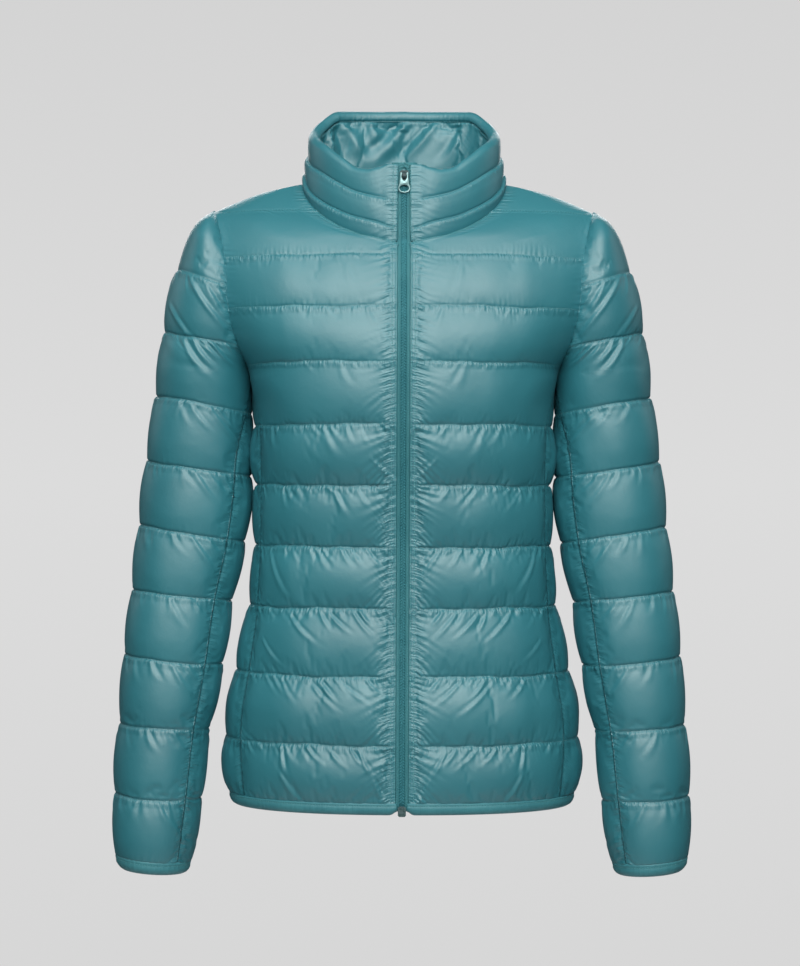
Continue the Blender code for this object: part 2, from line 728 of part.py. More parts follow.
def collar_walls():
    """Outer and inner points of the collar, and of its facing."""
    angles = [math.radians(a) for a in reversed(NECK_ANGLES[1:])] + [math.radians(NECK_ANGLES[0])]
    angles += [math.pi / 2 * (1 + k / BACK_HALF_COLUMNS) for k in range(BACK_HALF_COLUMNS + 1)]
    shares = (0.0, 0.5)
    shape = (3 * len(shares) + 1, len(angles), 3)
    grid, level, thick = np.zeros(shape), np.zeros(shape), np.zeros(shape)
    rise = np.zeros(shape[:2] + (1,))
    for c, angle in enumerate(angles):
        for r, (height, share) in enumerate(collar_heights(angle, shares)):
            grid[r, c] = collar_point(angle, height)
            rise[r, c] = swell(share) if c > 1 else 0.0
            level[r, c] = unit((math.sin(angle), -math.cos(angle), 0.0))
            thick[r, c] = neck_direction(angle) if r == 0 else level[r, c]
        lift = np.array([0, 0, 1.0]) - thick[0, c] * thick[0, c][2]
        grid[0, c] += unit(lift) * SEAM_GAP
    outer = grid + thick * (WALL + COLLAR_LOFT * rise)
    over_tape = np.array([1.0, 1.0] + [0.0] * (len(angles) - 2))[None, :, None]
    room_for_tape = SEAM_GAP + TAPE_GAP + TAPE_THICKNESS
    ends = [0, -1]
    facing = grid[ends] - level[ends] * (SEAM_GAP + room_for_tape * over_tape)
    lining = facing - level[ends] * FACING_WALL
    return [np.concatenate([right_side(g)[:, :-1], g[:, ::-1]], axis=1)
            for g in (outer, grid, facing, lining)]


# ------------------------------------------------------------------ hem binding
def hem_binding():
    """Outer and inner points of the band round the hem, from one side of the zip to the other."""
    half = HEM_HALF_COLUMNS
    outer, inner = np.zeros((len(BINDING_ROWS), half, 3)), np.zeros((len(BINDING_ROWS), half, 3))
    for r, (share, bulge) in enumerate(BINDING_ROWS):
        z = BINDING_TOP - BINDING_HEIGHT * share
        start = angle_at(z, ZIP_OPENING)
        angles = [start, start + 0.02] + list(np.linspace(start + 0.02, math.pi, half - 1)[1:])
        line = np.array([body_point(z, a, True) if a <= math.pi / 2 else body_point(z, math.pi - a, False)
                         for a in angles])
        along = np.gradient(line, axis=0)
        away = np.stack([-along[:, 1], along[:, 0], np.zeros(half)], axis=1)
        away /= np.linalg.norm(away, axis=1, keepdims=True)
        away *= np.where(np.sum(away * line, axis=1, keepdims=True) < 0, -1.0, 1.0)
        away[-1] = (0.0, 1.0, 0.0)
        outer[r] = line + away * (BINDING_WALL - BINDING_INSIDE + bulge)
        inner[r] = line - away * BINDING_INSIDE
    for face in (outer, inner):
        face[-1, 0, 2] += HEM_CORNER_RISE
        face[-1, 1, 2] += HEM_CORNER_RISE * 0.25
        face[1, 0, 2] += HEM_CORNER_RISE * 0.3
    return [np.concatenate([right_side(g)[:, :-1], g[:, ::-1]], axis=1) for g in (outer, inner)]


# ------------------------------------------------------------------ zip
def zip_depth(z, x=0.0):
    """Where the fronts and collar lie, forward of the shoulder seam, close to the centre front."""
    if z < -NECK_FRONT_DROP - 1e-6:
        half_width, depth, _ = section(z, True)
        return -depth * (1 - (x / half_width) ** SQUARENESS) ** (1 / SQUARENESS)
    share = min((z + NECK_FRONT_DROP) / (collar_top(0.0) + NECK_FRONT_DROP), 1.0)
    depth = NECK_FRONT_DEPTH + (COLLAR_TOP_FRONT - NECK_FRONT_DEPTH) * share
    half_width = NECK_HALF_WIDTH + (COLLAR_TOP_HALF_WIDTH - NECK_HALF_WIDTH) * share
    return -depth * math.sqrt(1 - (x / half_width) ** 2)


ZIP_LEAN = math.atan2(NECK_FRONT_DEPTH - COLLAR_TOP_FRONT, collar_top(0.0) + NECK_FRONT_DROP)
TAPE_MIDDLE = TAPE_GAP + TAPE_THICKNESS / 2


def zip_heights(top, bottom):
    """Heights along the zip between two ends, on the rows that the fronts' inner faces keep."""
    rows = [z for z in band_rows() if z > ARMPIT - 0.01 or band_share(z) in (0.0, 1.0)]
    rows += [-NECK_FRONT_DROP, -0.040, -0.020]
    return sorted([z for z in rows if bottom + 0.003 < z < top - 0.003] + [top, bottom], reverse=True)


def zip_strip(name, edges, thickness, top, bottom, material):
    """A flat strip along the zip whose points lie at the given distances from the centre."""
    heights = zip_heights(top, bottom)
    front = np.array([[(x, zip_depth(z, abs(x)) + TAPE_MIDDLE - thickness / 2, z) for x in edges]
                      for z in heights])
    return wall_object(name, front, front + np.array([0.0, thickness, 0.0]), material)


def prism(name, outline, thickness, material):
    """An outline in the x-z plane, made thick along y about its own plane."""
    count = len(outline)
    vertices = [(x, side * thickness / 2, z) for side in (-1, 1) for x, z in outline]
    faces = [list(range(count)), list(range(2 * count - 1, count - 1, -1))]
    faces += [(k, k + count, (k + 1) % count + count, (k + 1) % count) for k in range(count)]
    return mesh_object(name, vertices, faces, material)


def guide(thing):
    """Marks an object as one that only shapes another."""
    thing.hide_render = True
    thing.display_type = "WIRE"
    return thing


def block(name, centre, size, material):
    """A rectangular block, its corners named by its centre and size."""
    half = [edge / 2 for edge in size]
    vertices = [(centre[0] + half[0] * i, centre[1] + half[1] * j, centre[2] + half[2] * k)
                for i in (-1, 1) for j in (-1, 1) for k in (-1, 1)]
    faces = [(0, 1, 3, 2), (4, 6, 7, 5), (0, 4, 5, 1), (2, 3, 7, 6), (0, 2, 6, 4), (1, 5, 7, 3)]
    return mesh_object(name, vertices, faces, material)


def zip_slider(material):
    """The slider: two plates joined by a post above the chain, with a bail in front."""
    channel = CHAIN_THICKNESS / 2 + SLIDER_CLEARANCE
    plate_y = channel + SLIDER_PLATE / 2
    top, low = SLIDER_HEIGHT / 2, -SLIDER_HEIGHT / 2
    wide, narrow = SLIDER_TOP_WIDTH / 2, SLIDER_END_WIDTH / 2
    outline = [(-wide + 0.0012, top), (-wide, top - 0.0014), (-narrow, low + 0.0008),
               (-narrow + 0.0008, low), (narrow - 0.0008, low), (narrow, low + 0.0008),
               (wide, top - 0.0014), (wide - 0.0012, top)]
    slider = prism("zip_slider", outline, SLIDER_PLATE, material)
    slider.data.transform(Matrix.Translation((0, -plate_y, 0)))
    back = prism("slider_back_guide", outline, SLIDER_PLATE, material)
    back.data.transform(Matrix.Translation((0, plate_y, 0)))
    overlap = 0.0002
    post = block("slider_post_guide", (0, 0, 0.0032), (0.0022, 2 * (channel + overlap), 0.0030), material)
    face_y = -(channel + SLIDER_PLATE)
    reach = PULL_AXIS_REACH + 0.0008
    hump = [(0.0, -0.0034), (-reach + 0.0008, -0.0022), (-reach, -0.0008), (-reach, 0.0018),
            (-reach + 0.0010, 0.0032), (0.0, 0.0044)]
    vertices = [(side * BAIL_WIDTH / 2, face_y + (overlap if y == 0 else y), z)
                for side in (-1, 1) for y, z in hump]
    count = len(hump)
    faces = [list(range(count)), list(range(2 * count - 1, count - 1, -1))]
    faces += [(k, k + count, (k + 1) % count + count, (k + 1) % count) for k in range(count)]
    bail = mesh_object("slider_bail_guide", vertices, faces, material)
    for part in (back, post, bail):
        union = slider.modifiers.new("join_" + part.name, "BOOLEAN")
        union.operation = "UNION"
        union.solver = "EXACT"
        union.object = guide(part)
        part.parent = slider
    slider.location = (0.0, zip_depth(SLIDER_CENTRE) + TAPE_MIDDLE, SLIDER_CENTRE)
    slider.rotation_euler = (-ZIP_LEAN, 0.0, 0.0)
    return slider


def pull_axis():
    """The pull tab's pivot in the jacket's own frame."""
    face = CHAIN_THICKNESS / 2 + SLIDER_CLEARANCE + SLIDER_PLATE + PULL_AXIS_REACH
    up = PULL_AXIS_HEIGHT - SLIDER_CENTRE
    return (0.0,
            zip_depth(SLIDER_CENTRE) + TAPE_MIDDLE - face * math.cos(ZIP_LEAN) + up * math.sin(ZIP_LEAN),
            SLIDER_CENTRE + up * math.cos(ZIP_LEAN) + face * math.sin(ZIP_LEAN))


def pull_tab(material):
    """The pull tab: a fork that straddles the bail, over an oval ring.  Its origin is its pivot."""
    sections = [((x, z), (far_x, far_z)) for x, z, far_x, far_z in PULL_FORK]
    for k, outer in enumerate(PULL_RING):
        turn = math.pi * (0.5 - k / (len(PULL_RING) - 1))
        hole = (PULL_HOLE_WIDTH / 2 * math.cos(turn),
                PULL_HOLE_CENTRE + PULL_HOLE_HEIGHT / 2 * math.sin(turn))
        sections.append((hole, outer))
    vertices, faces = [], []

    def corner(side, point, depth):
        place = (round(side * point[0], 7) + 0.0, depth * PULL_THICKNESS / 2, point[1])
        if place not in vertices:
            vertices.append(place)
        return vertices.index(place)

    for side in (1, -1):
        tip_inner, tip_outer = sections[0]
        faces.append([corner(side, tip_inner, -1), corner(side, tip_outer, -1),
                      corner(side, tip_outer, 1), corner(side, tip_inner, 1)])
        for (inner, outer), (next_inner, next_outer) in zip(sections, sections[1:]):
            faces += [[corner(side, p, depth) for p in (inner, outer, next_outer, next_inner)]
                      for depth in (-1, 1)]
            walls = [(outer, next_outer)]
            if max(inner[0], next_inner[0]) > 1e-6:
                walls.append((inner, next_inner))
            faces += [[corner(side, a, -1), corner(side, b, -1), corner(side, b, 1), corner(side, a, 1)]
                      for a, b in walls]
    tab = mesh_object("zip_pull", vertices, faces, material)
    tab.location = pull_axis()
    return tab


def zip_box(material):
    """The box at the foot of the zip, in the notch between the two ends of the hem binding."""
    half, bevel = BOX_WIDTH / 2, 0.0012
    outline = [(-half, bevel), (-half + bevel, 0.0), (half - bevel, 0.0), (half, bevel),
               (half, BOX_HEIGHT - bevel / 2), (half - bevel / 2, BOX_HEIGHT),
               (-half + bevel / 2, BOX_HEIGHT), (-half, BOX_HEIGHT - bevel / 2)]
    box = prism("zip_box", outline, BOX_THICKNESS, material)
    box.location = (0.0, zip_depth(BOX_BOTTOM) + TAPE_MIDDLE - 0.0006, BOX_BOTTOM)
    return box


# ------------------------------------------------------------------ materials and assembly
def finish(name, colour, roughness, metallic=0.0):
    material = bpy.data.materials.new(name)
    material.use_nodes = True
    surface = material.node_tree.nodes["Principled BSDF"]
    surface.inputs["Base Color"].default_value = colour
    surface.inputs["Roughness"].default_value = roughness
    surface.inputs["Metallic"].default_value = metallic
    material.diffuse_color = colour
    return material


def clear_scene():
    for thing in list(bpy.data.objects):
        bpy.data.objects.remove(thing, do_unlink=True)


def build():
    clear_scene()

    def shell(name):
        return finish(name, SHELL_COLOUR, 0.42)

    outer, inner, rows = front_panel()
    wall_object("front_left", outer, inner, shell("front left shell"), rows)
    wall_object("front_right", right_side(outer), right_side(inner), shell("front right shell"), rows)
    outer, inner, rows = back_panel()
    wall_object("back", outer, inner, shell("back shell"), rows)
    outer, inner, rows = sleeve_panel()
    wall_object("sleeve_left", outer, inner, shell("left sleeve shell"), rows)
    wall_object("sleeve_right", right_side(outer), right_side(inner), shell("right sleeve shell"), rows)
    outer, inner, facing, lining = collar_walls()
    wall_object("collar", outer, inner, shell("collar shell"))
    wall_object("collar_facing", facing, lining, shell("collar facing shell"))

    def binding(name):
        return finish(name, TAPE_COLOUR, 0.55)

    outer, inner = hem_binding()
    wall_object("hem_binding", outer, inner, binding("hem elastic"))
    outer, inner = cuff_binding()
    wall_object("cuff_binding_left", outer, inner, binding("left cuff elastic"), ring=True)
    wall_object("cuff_binding_right", right_side(outer), right_side(inner),
                binding("right cuff elastic"), ring=True)

    box_top = BOX_BOTTOM + BOX_HEIGHT + SEAM_GAP
    for side, sign in (("left", 1), ("right", -1)):
        edges = [sign * x for x in (CHAIN_HALF_WIDTH + SEAM_GAP, ZIP_OPENING, TAPE_REACH)]
        zip_strip("zip_tape_" + side, edges, TAPE_THICKNESS, ZIP_TOP, TAPE_BOTTOM,
                  finish(side + " zip tape", TAPE_COLOUR, 0.75))
    zip_strip("zip_chain", (-CHAIN_HALF_WIDTH, CHAIN_HALF_WIDTH), CHAIN_THICKNESS,
              SLIDER_CENTRE + 0.0010, box_top, finish("zip chain", TAPE_COLOUR, 0.6))
    zip_slider(finish("slider metal", METAL_COLOUR, 0.35, 1.0))
    pull_tab(finish("pull metal", METAL_COLOUR, 0.30, 1.0))
    zip_box(finish("box metal", METAL_COLOUR, 0.40, 1.0))


build()
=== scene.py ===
"""The looks of a quilted down jacket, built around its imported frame.

Metres, +Z up.  The jacket faces -Y and the wearer's left side is +X.  Each quilted panel starts as a
grid of points on the jacket's form, is blown up as pressed cloth that is held on its stitched lines,
and is then refined with the puckers and creases that the stitches draw into it.  The collar's shell
is the exception: it isn't simulated, and keeps the shape it is cut to.
"""
import math

import bpy
import numpy as np
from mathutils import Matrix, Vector


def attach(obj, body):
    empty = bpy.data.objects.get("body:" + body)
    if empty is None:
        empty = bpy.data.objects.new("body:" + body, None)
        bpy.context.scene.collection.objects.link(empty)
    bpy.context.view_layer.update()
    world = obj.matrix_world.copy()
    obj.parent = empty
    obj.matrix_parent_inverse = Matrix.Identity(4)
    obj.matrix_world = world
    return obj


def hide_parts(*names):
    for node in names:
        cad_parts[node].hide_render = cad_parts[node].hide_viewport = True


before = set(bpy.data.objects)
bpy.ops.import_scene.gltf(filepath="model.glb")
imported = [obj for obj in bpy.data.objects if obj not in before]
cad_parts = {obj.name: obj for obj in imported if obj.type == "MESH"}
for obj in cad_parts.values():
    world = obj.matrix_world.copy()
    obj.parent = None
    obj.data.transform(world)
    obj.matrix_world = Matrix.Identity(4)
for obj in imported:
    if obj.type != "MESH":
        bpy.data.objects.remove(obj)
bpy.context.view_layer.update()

# ------------------------------------------------------------------ the form's driving sizes
SEAM_GAP = 0.0003
SIDE_GAP = 0.0001            # half the angle between front and back at the side seam
WALL = 0.0020                # level of the stitched lines above the panels' inner faces
NECK_HALF_WIDTH = 0.0965
NECK_FRONT_DROP = 0.0615
NECK_FRONT_DEPTH = 0.084
NECK_BACK_DEPTH = 0.062
NECK_DROP_POWER = 1.1
SQUARENESS = 2.3             # exponent of the body's oval sections, 2 is an ellipse
SHOULDER_DROP = 0.027
ARMPIT = -0.188
ARMHOLE_REACH = 0.061
TIGHT_SHARE = 0.30           # least share of a wall's thickness where sleeve and body face each other
CLEARANCE = 0.0004

LENGTH = 0.596
BINDING_HEIGHT = 0.0105
BINDING_TOP = -LENGTH + BINDING_HEIGHT
HEM_CORNER_RISE = 0.0032
HEM_START = 0.0049           # where the hem's binding ends, from the centre

ZIP_OPENING = 0.0062         # half the width between the front edges
ZIP_STRIP = 0.0065           # flat stitched strip beside the zip
CHAIN_HALF_WIDTH = 0.0029
CHAIN_THICKNESS = 0.0018
TAPE_GAP = 0.0005
TAPE_THICKNESS = 0.0006
TAPE_MIDDLE = TAPE_GAP + TAPE_THICKNESS / 2

COLLAR_TOP_HALF_WIDTH = 0.0885
COLLAR_TOP_FRONT = 0.0745
COLLAR_TOP_BACK = 0.0640

SLEEVE_BINDING_LINE = 10.0
SLEEVE_EDGE_LINE = 11.0
MIRROR = np.array([-1.0, 1.0, 1.0])      # takes a point of one side of the wearer to the other

# ------------------------------------------------------------------ driving sizes of the looks
GROWTH = 0.014               # how much wider the cloth is cut than its swollen form, so that it puckers
FACING_GROWTH = 0.060
BODY_SWELL = 0.0068          # how far a band is cut to swell past its stitched lines
SLEEVE_SWELL = 0.0036
COLLAR_SWELL = 0.0032
FACING_SWELL = 0.0040
SAG = 0.92                   # under 1 moves a band's fullest place above its middle
HANG = 0.0005                # how far a band's lower edge droops over the stitches below it
BODY_SPACING = 0.0033        # of the simulated points
BACK_SPACING = 0.0038
SLEEVE_SPACING = 0.0036
COLLAR_SPACING = 0.0030
CLOTH_FRAMES = 20
MOST_SWELL = 1.9             # times the cut swell, which the simulation may not pass
CHEST_SHARE = 0.45           # of the full swell, for the bands of the chest
SEAM_CROWDING = 0.40         # draws the rows of a band towards its stitched lines, 0 to 1
SEAM_WANDER = 0.0007         # how far a stitched line strays from its course
SEAM_DEPTH = 0.00035         # of the groove that the stitches draw
SEAM_HALF_WIDTH = 0.0009
EDGE_RISE = 0.024            # distance in which a panel rises from its held edges to its full swell

CREASE_WIDTH = 1.4           # times the half widths below
SEED = 20
FRONT_WIDTH = 0.175          # round the front at its widest, which sets its number of columns
BACK_HALF_WIDTH = 0.205
SLEEVE_GIRTH = 0.325
SLEEVE_BAND = 0.0625         # height of a sleeve's bands, which sets their number of rows
FRONT_TOP_ROWS = 14          # above the first quilting line
BACK_TOP_ROWS = 13
CAP_ROWS = 20                # above a sleeve's first quilting line
UNEVEN_FILLING = 0.16        # share by which the swell varies along a band
UNEVEN_LINING = 0.7
HELD_STRIP = ZIP_STRIP + 0.0004          # width beside the zip that is pinned in the simulation
EDGE_DROP = 0.0004           # how far a panel's edge turns down into the seam beside it
EDGE_HALF_WIDTH = 0.0009

# The main creases of a front.
FRONT_CREASES = (
    # band, distance from the front edge, distance below the stitches, length, lean, half width, depth
    (1, 0.046, 0.012, 0.030, -0.15, 0.0022, 0.0005),
    (2, 0.030, 0.001, 0.024, -0.30, 0.0018, 0.0006),
    (3, 0.052, 0.002, 0.026, -0.25, 0.0024, 0.0006),
    (4, 0.026, 0.030, 0.028, -0.90, 0.0018, 0.0010),
    (4, 0.070, 0.002, 0.030, -0.35, 0.0024, 0.0007),
    (5, 0.036, 0.001, 0.020, -0.50, 0.0016, 0.0010),
    (5, 0.061, 0.001, 0.028, -0.45, 0.0018, 0.0009),
    (5, 0.112, 0.002, 0.022, -0.30, 0.0016, 0.0008),
    (6, 0.030, 0.001, 0.024, -0.60, 0.0015, 0.0011),
    (6, 0.048, 0.001, 0.017, -0.50, 0.0014, 0.0010),
    (6, 0.076, 0.001, 0.026, -0.40, 0.0018, 0.0010),
    (6, 0.128, 0.006, 0.050, -0.45, 0.0020, 0.0009),
    (7, 0.033, 0.001, 0.018, -0.50, 0.0014, 0.0013),
    (7, 0.043, 0.002, 0.027, -0.65, 0.0016, 0.0014),
    (7, 0.063, 0.004, 0.024, -0.70, 0.0015, 0.0014),
    (7, 0.071, 0.004, 0.022, -0.45, 0.0015, 0.0012),
    (7, 0.099, 0.005, 0.030, -0.70, 0.0018, 0.0013),
    (7, 0.132, 0.030, 0.026, -0.80, 0.0016, 0.0009),
    (8, 0.030, 0.001, 0.016, -0.60, 0.0014, 0.0012),
    (8, 0.050, 0.003, 0.026, -0.95, 0.0016, 0.0013),
    (8, 0.072, 0.003, 0.024, -0.60, 0.0015, 0.0013),
    (8, 0.080, 0.006, 0.034, -0.80, 0.0018, 0.0013),
    (8, 0.108, 0.002, 0.024, -0.55, 0.0016, 0.0010),
    (9, 0.018, 0.030, 0.034, -0.35, 0.0018, 0.0010),
    (9, 0.032, 0.006, 0.028, -0.40, 0.0014, 0.0014),
    (9, 0.044, 0.002, 0.018, -0.60, 0.0014, 0.0011),
    (9, 0.064, 0.001, 0.024, -0.80, 0.0016, 0.0012),
    (9, 0.084, 0.001, 0.018, -0.70, 0.0015, 0.0011),
    (9, 0.111, 0.001, 0.030, -0.18, 0.0014, 0.0015),
    (9, 0.106, 0.026, 0.036, -0.50, 0.0020, 0.0010),
)

# The main creases of a sleeve, seen from the front.
SLEEVE_CREASES = (
    # band, distance from its inner side, distance below the stitches, length, lean, half width, depth
    (0, 0.032, 0.001, 0.062, -0.52, 0.0021, 0.0016),
    (0, 0.049, 0.032, 0.034, -0.50, 0.0017, 0.0011),
    (0, 0.020, 0.002, 0.030, -0.45, 0.0016, 0.0010),
    (0, 0.011, 0.002, 0.020, -0.40, 0.0014, 0.0009),
    (1, 0.050, 0.001, 0.058, -0.36, 0.0020, 0.0014),
    (1, 0.040, 0.001, 0.038, -0.36, 0.0017, 0.0014),
    (1, 0.031, 0.001, 0.030, -0.42, 0.0016, 0.0012),
    (1, 0.023, 0.001, 0.036, -0.48, 0.0017, 0.0014),
    (1, 0.013, 0.001, 0.022, -0.45, 0.0016, 0.0011),
    (2, 0.051, 0.001, 0.026, -0.55, 0.0016, 0.0012),
    (2, 0.039, 0.001, 0.054, -0.62, 0.0019, 0.0015),
    (2, 0.030, 0.001, 0.030, -0.58, 0.0016, 0.0012),
    (2, 0.066, 0.001, 0.024, -0.30, 0.0017, 0.0009),
    (3, 0.057, 0.001, 0.022, -0.40, 0.0016, 0.0011),
    (3, 0.046, 0.001, 0.034, -0.48, 0.0018, 0.0012),
    (3, 0.034, 0.001, 0.024, -0.55, 0.0016, 0.0011),
    (3, 0.023, 0.001, 0.030, -0.50, 0.0016, 0.0011),
    (4, 0.060, 0.001, 0.020, -0.35, 0.0016, 0.0010),
    (4, 0.042, 0.001, 0.034, -0.50, 0.0018, 0.0013),
    (4, 0.031, 0.001, 0.022, -0.55, 0.0016, 0.0011),
    (5, 0.054, 0.001, 0.030, -0.36, 0.0017, 0.0012),
    (5, 0.035, 0.001, 0.024, -0.50, 0.0016, 0.0011),
    (6, 0.061, 0.001, 0.024, -0.30, 0.0017, 0.0010),
    (6, 0.040, 0.001, 0.032, -0.45, 0.0018, 0.0012),
    (6, 0.026, 0.001, 0.022, -0.50, 0.0016, 0.0010),
    (7, 0.052, 0.001, 0.026, -0.32, 0.0017, 0.0011),
    (7, 0.032, 0.001, 0.030, -0.48, 0.0017, 0.0011),
    (8, 0.056, 0.001, 0.024, 0.15, 0.0017, 0.0010),
    (8, 0.036, 0.001, 0.034, -0.38, 0.0018, 0.0013),
    (8, 0.022, 0.018, 0.030, -0.50, 0.0017, 0.0010),
)

# The soft folds of the collar's lining, which meet in a V below the middle of the back.
FACING_FOLDS = (
    # band, distance from the wearer's right front edge, distance below the rim, length, lean, half, depth
    (0, 0.196, 0.002, 0.060, 0.55, 0.0060, 0.0042),
    (0, 0.222, 0.000, 0.042, 0.40, 0.0050, 0.0036),
    (0, 0.262, 0.001, 0.052, -0.50, 0.0056, 0.0042),
    (0, 0.290, 0.000, 0.046, -0.60, 0.0046, 0.0034),
    (0, 0.168, 0.002, 0.050, 0.35, 0.0042, 0.0030),
    (0, 0.318, 0.002, 0.050, -0.30, 0.0042, 0.0030),
)

# Heights of the quilting lines on the body, neck to hem binding.
BODY_QUILTS = (-0.029, -0.0745, -0.1235, -0.175, -0.2335, -0.290, -0.348, -0.4055, -0.4685, -0.532,
               BINDING_TOP)

SHOULDER_SEAM = (
    # height, half width
    (0.000, 0.0965),
    (-0.004, 0.1222),
    (-0.0186, 0.1650),
    (-0.027, 0.1833),
)

SIDE = (
    # height, half width
    (-0.027, 0.1833),
    (-0.0565, 0.1745),
    (-0.0817, 0.1700),
    (-0.1205, 0.1668),
    (-0.1435, 0.1620),
    (-0.1590, 0.1570),
    (-0.1745, 0.1510),
    (-0.1880, 0.1475),
    (-0.2335, 0.1415),
    (-0.2900, 0.1395),
    (-0.3480, 0.1400),
    (-0.4055, 0.1450),
    (-0.4685, 0.1580),
    (-0.5320, 0.1680),
    (-0.5855, 0.1640),
    (-0.5960, 0.1610),
)

FRONT_DEPTH = (
    # height, depth
    (-0.0615, 0.0840),
    (-0.0745, 0.0935),
    (-0.0950, 0.1030),
    (-0.1235, 0.1110),
    (-0.1750, 0.1190),
    (-0.2335, 0.1160),
    (-0.2900, 0.1070),
    (-0.3480, 0.1010),
    (-0.4055, 0.1020),
    (-0.4685, 0.1080),
    (-0.5320, 0.1130),
    (-0.5855, 0.1130),
    (-0.5960, 0.1120),
)

BACK_DEPTH = (
    # height, depth
    (0.0000, 0.062),
    (-0.0130, 0.080),
    (-0.0290, 0.093),
    (-0.0615, 0.104),
    (-0.0950, 0.111),
    (-0.1235, 0.114),
    (-0.1750, 0.114),
    (-0.2335, 0.104),
    (-0.2900, 0.093),
    (-0.3480, 0.089),
    (-0.4055, 0.095),
    (-0.4685, 0.106),
    (-0.5320, 0.113),
    (-0.5960, 0.111),
)

SIDE_SEAM = (
    # height, degrees forward of the widest point
    (-0.188, 0.0),
    (-0.212, 12.0),
    (-0.240, 19.0),
    (-0.350, 18.0),
    (-0.470, 26.0),
    (-0.596, 28.0),
)

COLLAR = (
    # degrees from the centre front, lower line, upper line, top edge
    (0.0, -0.0520, -0.0230, 0.0125),
    (8.0, -0.0475, -0.0215, 0.0130),
    (15.0, -0.0430, -0.0190, 0.0085),
    (23.0, -0.0395, -0.0160, 0.0062),
    (32.0, -0.0355, -0.0115, 0.0085),
    (43.0, -0.0285, -0.0035, 0.0180),
    (60.0, -0.0165, 0.0090, 0.0324),
    (75.0, -0.0040, 0.0175, 0.0410),
    (90.0, 0.0110, 0.0270, 0.0490),
    (115.0, 0.0190, 0.0390, 0.0644),
    (136.0, 0.0230, 0.0460, 0.0765),
    (180.0, 0.0250, 0.0490, 0.0790),
)

SLEEVE = (
    # line, outer x, outer z, inner x, inner z, half depth, centre y
    (0.00, 0.1838, -0.0272, 0.1833, -0.0270, 0.0100, 0.0000),
    (0.25, 0.1980, -0.0385, 0.1790, -0.0420, 0.0440, 0.0000),
    (0.50, 0.2075, -0.0540, 0.1735, -0.0620, 0.0590, 0.0000),
    (1.00, 0.2170, -0.0840, 0.1690, -0.1020, 0.0650, 0.0000),
    (2.00, 0.2290, -0.1440, 0.1572, -0.1580, 0.0625, 0.0000),
    (3.00, 0.2365, -0.2050, 0.1520, -0.2215, 0.0570, -0.0010),
    (4.00, 0.2450, -0.2676, 0.1500, -0.2822, 0.0530, -0.0030),
    (5.00, 0.2515, -0.3297, 0.1560, -0.3443, 0.0505, -0.0060),
    (6.00, 0.2578, -0.3908, 0.1680, -0.4010, 0.0480, -0.0100),
    (7.00, 0.2648, -0.4539, 0.1765, -0.4625, 0.0465, -0.0145),
    (8.00, 0.2686, -0.5189, 0.1875, -0.5245, 0.0440, -0.0195),
    (9.00, 0.2724, -0.5858, 0.1955, -0.5906, 0.0420, -0.0250),
    (10.0, 0.2712, -0.6440, 0.2045, -0.6500, 0.0375, -0.0300),
    (11.0, 0.2662, -0.6570, 0.2085, -0.6610, 0.0340, -0.0312),
)

SLEEVE_SEAM = (
    # line, degrees forward of the innermost point
    (2.4, 0.0),
    (3.0, 24.0),
    (4.0, 42.0),
    (11.0, 46.0),
)


# ------------------------------------------------------------------ curves through the tables
def smooth(rows, column=1):
    """A smooth function through a table's rows, of its first column, that never overshoots."""
    rows = np.array(sorted(rows), dtype=float)
    x, y = rows[:, 0], rows[:, column]
    step, rise = np.diff(x), np.diff(y)
    slope = rise / step
    tangent = np.zeros(len(x))
    tangent[0], tangent[-1] = slope[0], slope[-1]
    for k in range(1, len(x) - 1):
        if slope[k - 1] * slope[k] > 0:
            near, far = 2 * step[k] + step[k - 1], step[k] + 2 * step[k - 1]
            tangent[k] = (near + far) / (near / slope[k - 1] + far / slope[k])

    def value(at):
        at = np.clip(at, x[0], x[-1])
        k = np.clip(np.searchsorted(x, at, side="right") - 1, 0, len(step) - 1)
        t = (at - x[k]) / step[k]
        return ((1 + 2 * t) * (1 - t) ** 2 * y[k] + t * (1 - t) ** 2 * step[k] * tangent[k]
                + t * t * (3 - 2 * t) * y[k + 1] + t * t * (t - 1) * step[k] * tangent[k + 1])
    return value


shoulder_x = smooth(SHOULDER_SEAM)
side_x = smooth(SIDE)
front_depth = smooth(FRONT_DEPTH)
back_depth = smooth(BACK_DEPTH)
side_seam_angle = smooth(SIDE_SEAM)
collar_lower, collar_upper, collar_top = (smooth(COLLAR, k) for k in (1, 2, 3))
sleeve_seam_angle = smooth(SLEEVE_SEAM)
sleeve_values = [smooth(SLEEVE, k) for k in range(1, 7)]


def unit(vectors):
    vectors = np.asarray(vectors, dtype=float)
    return vectors / np.maximum(np.linalg.norm(vectors, axis=-1, keepdims=True), 1e-12)


def ramp(values, start, end):
    """0 before start, 1 after end, smooth between."""
    t = np.clip((np.asarray(values, dtype=float) - start) / (end - start), 0.0, 1.0)
    return t * t * (3 - 2 * t)


# ------------------------------------------------------------------ the body's form
def armhole_depth(z):
    """How far the armhole lies forward or back of the shoulder seam at a height."""
    middle, half = (ARMPIT - SHOULDER_DROP) / 2, (-SHOULDER_DROP - ARMPIT) / 2
    share = np.clip((z - middle) / half, -1.0, 1.0)
    return ARMHOLE_REACH * (1 - share * share) ** (0.5 + 0.4 * ramp(-share, 0.6, 1.0))


def neck_share(z):
    """The cosine of the neckline's angle at a height, 1 at the centre front."""
    return np.clip(-np.asarray(z, dtype=float) / NECK_FRONT_DROP, 0.0, 1.0) ** (1 / NECK_DROP_POWER)


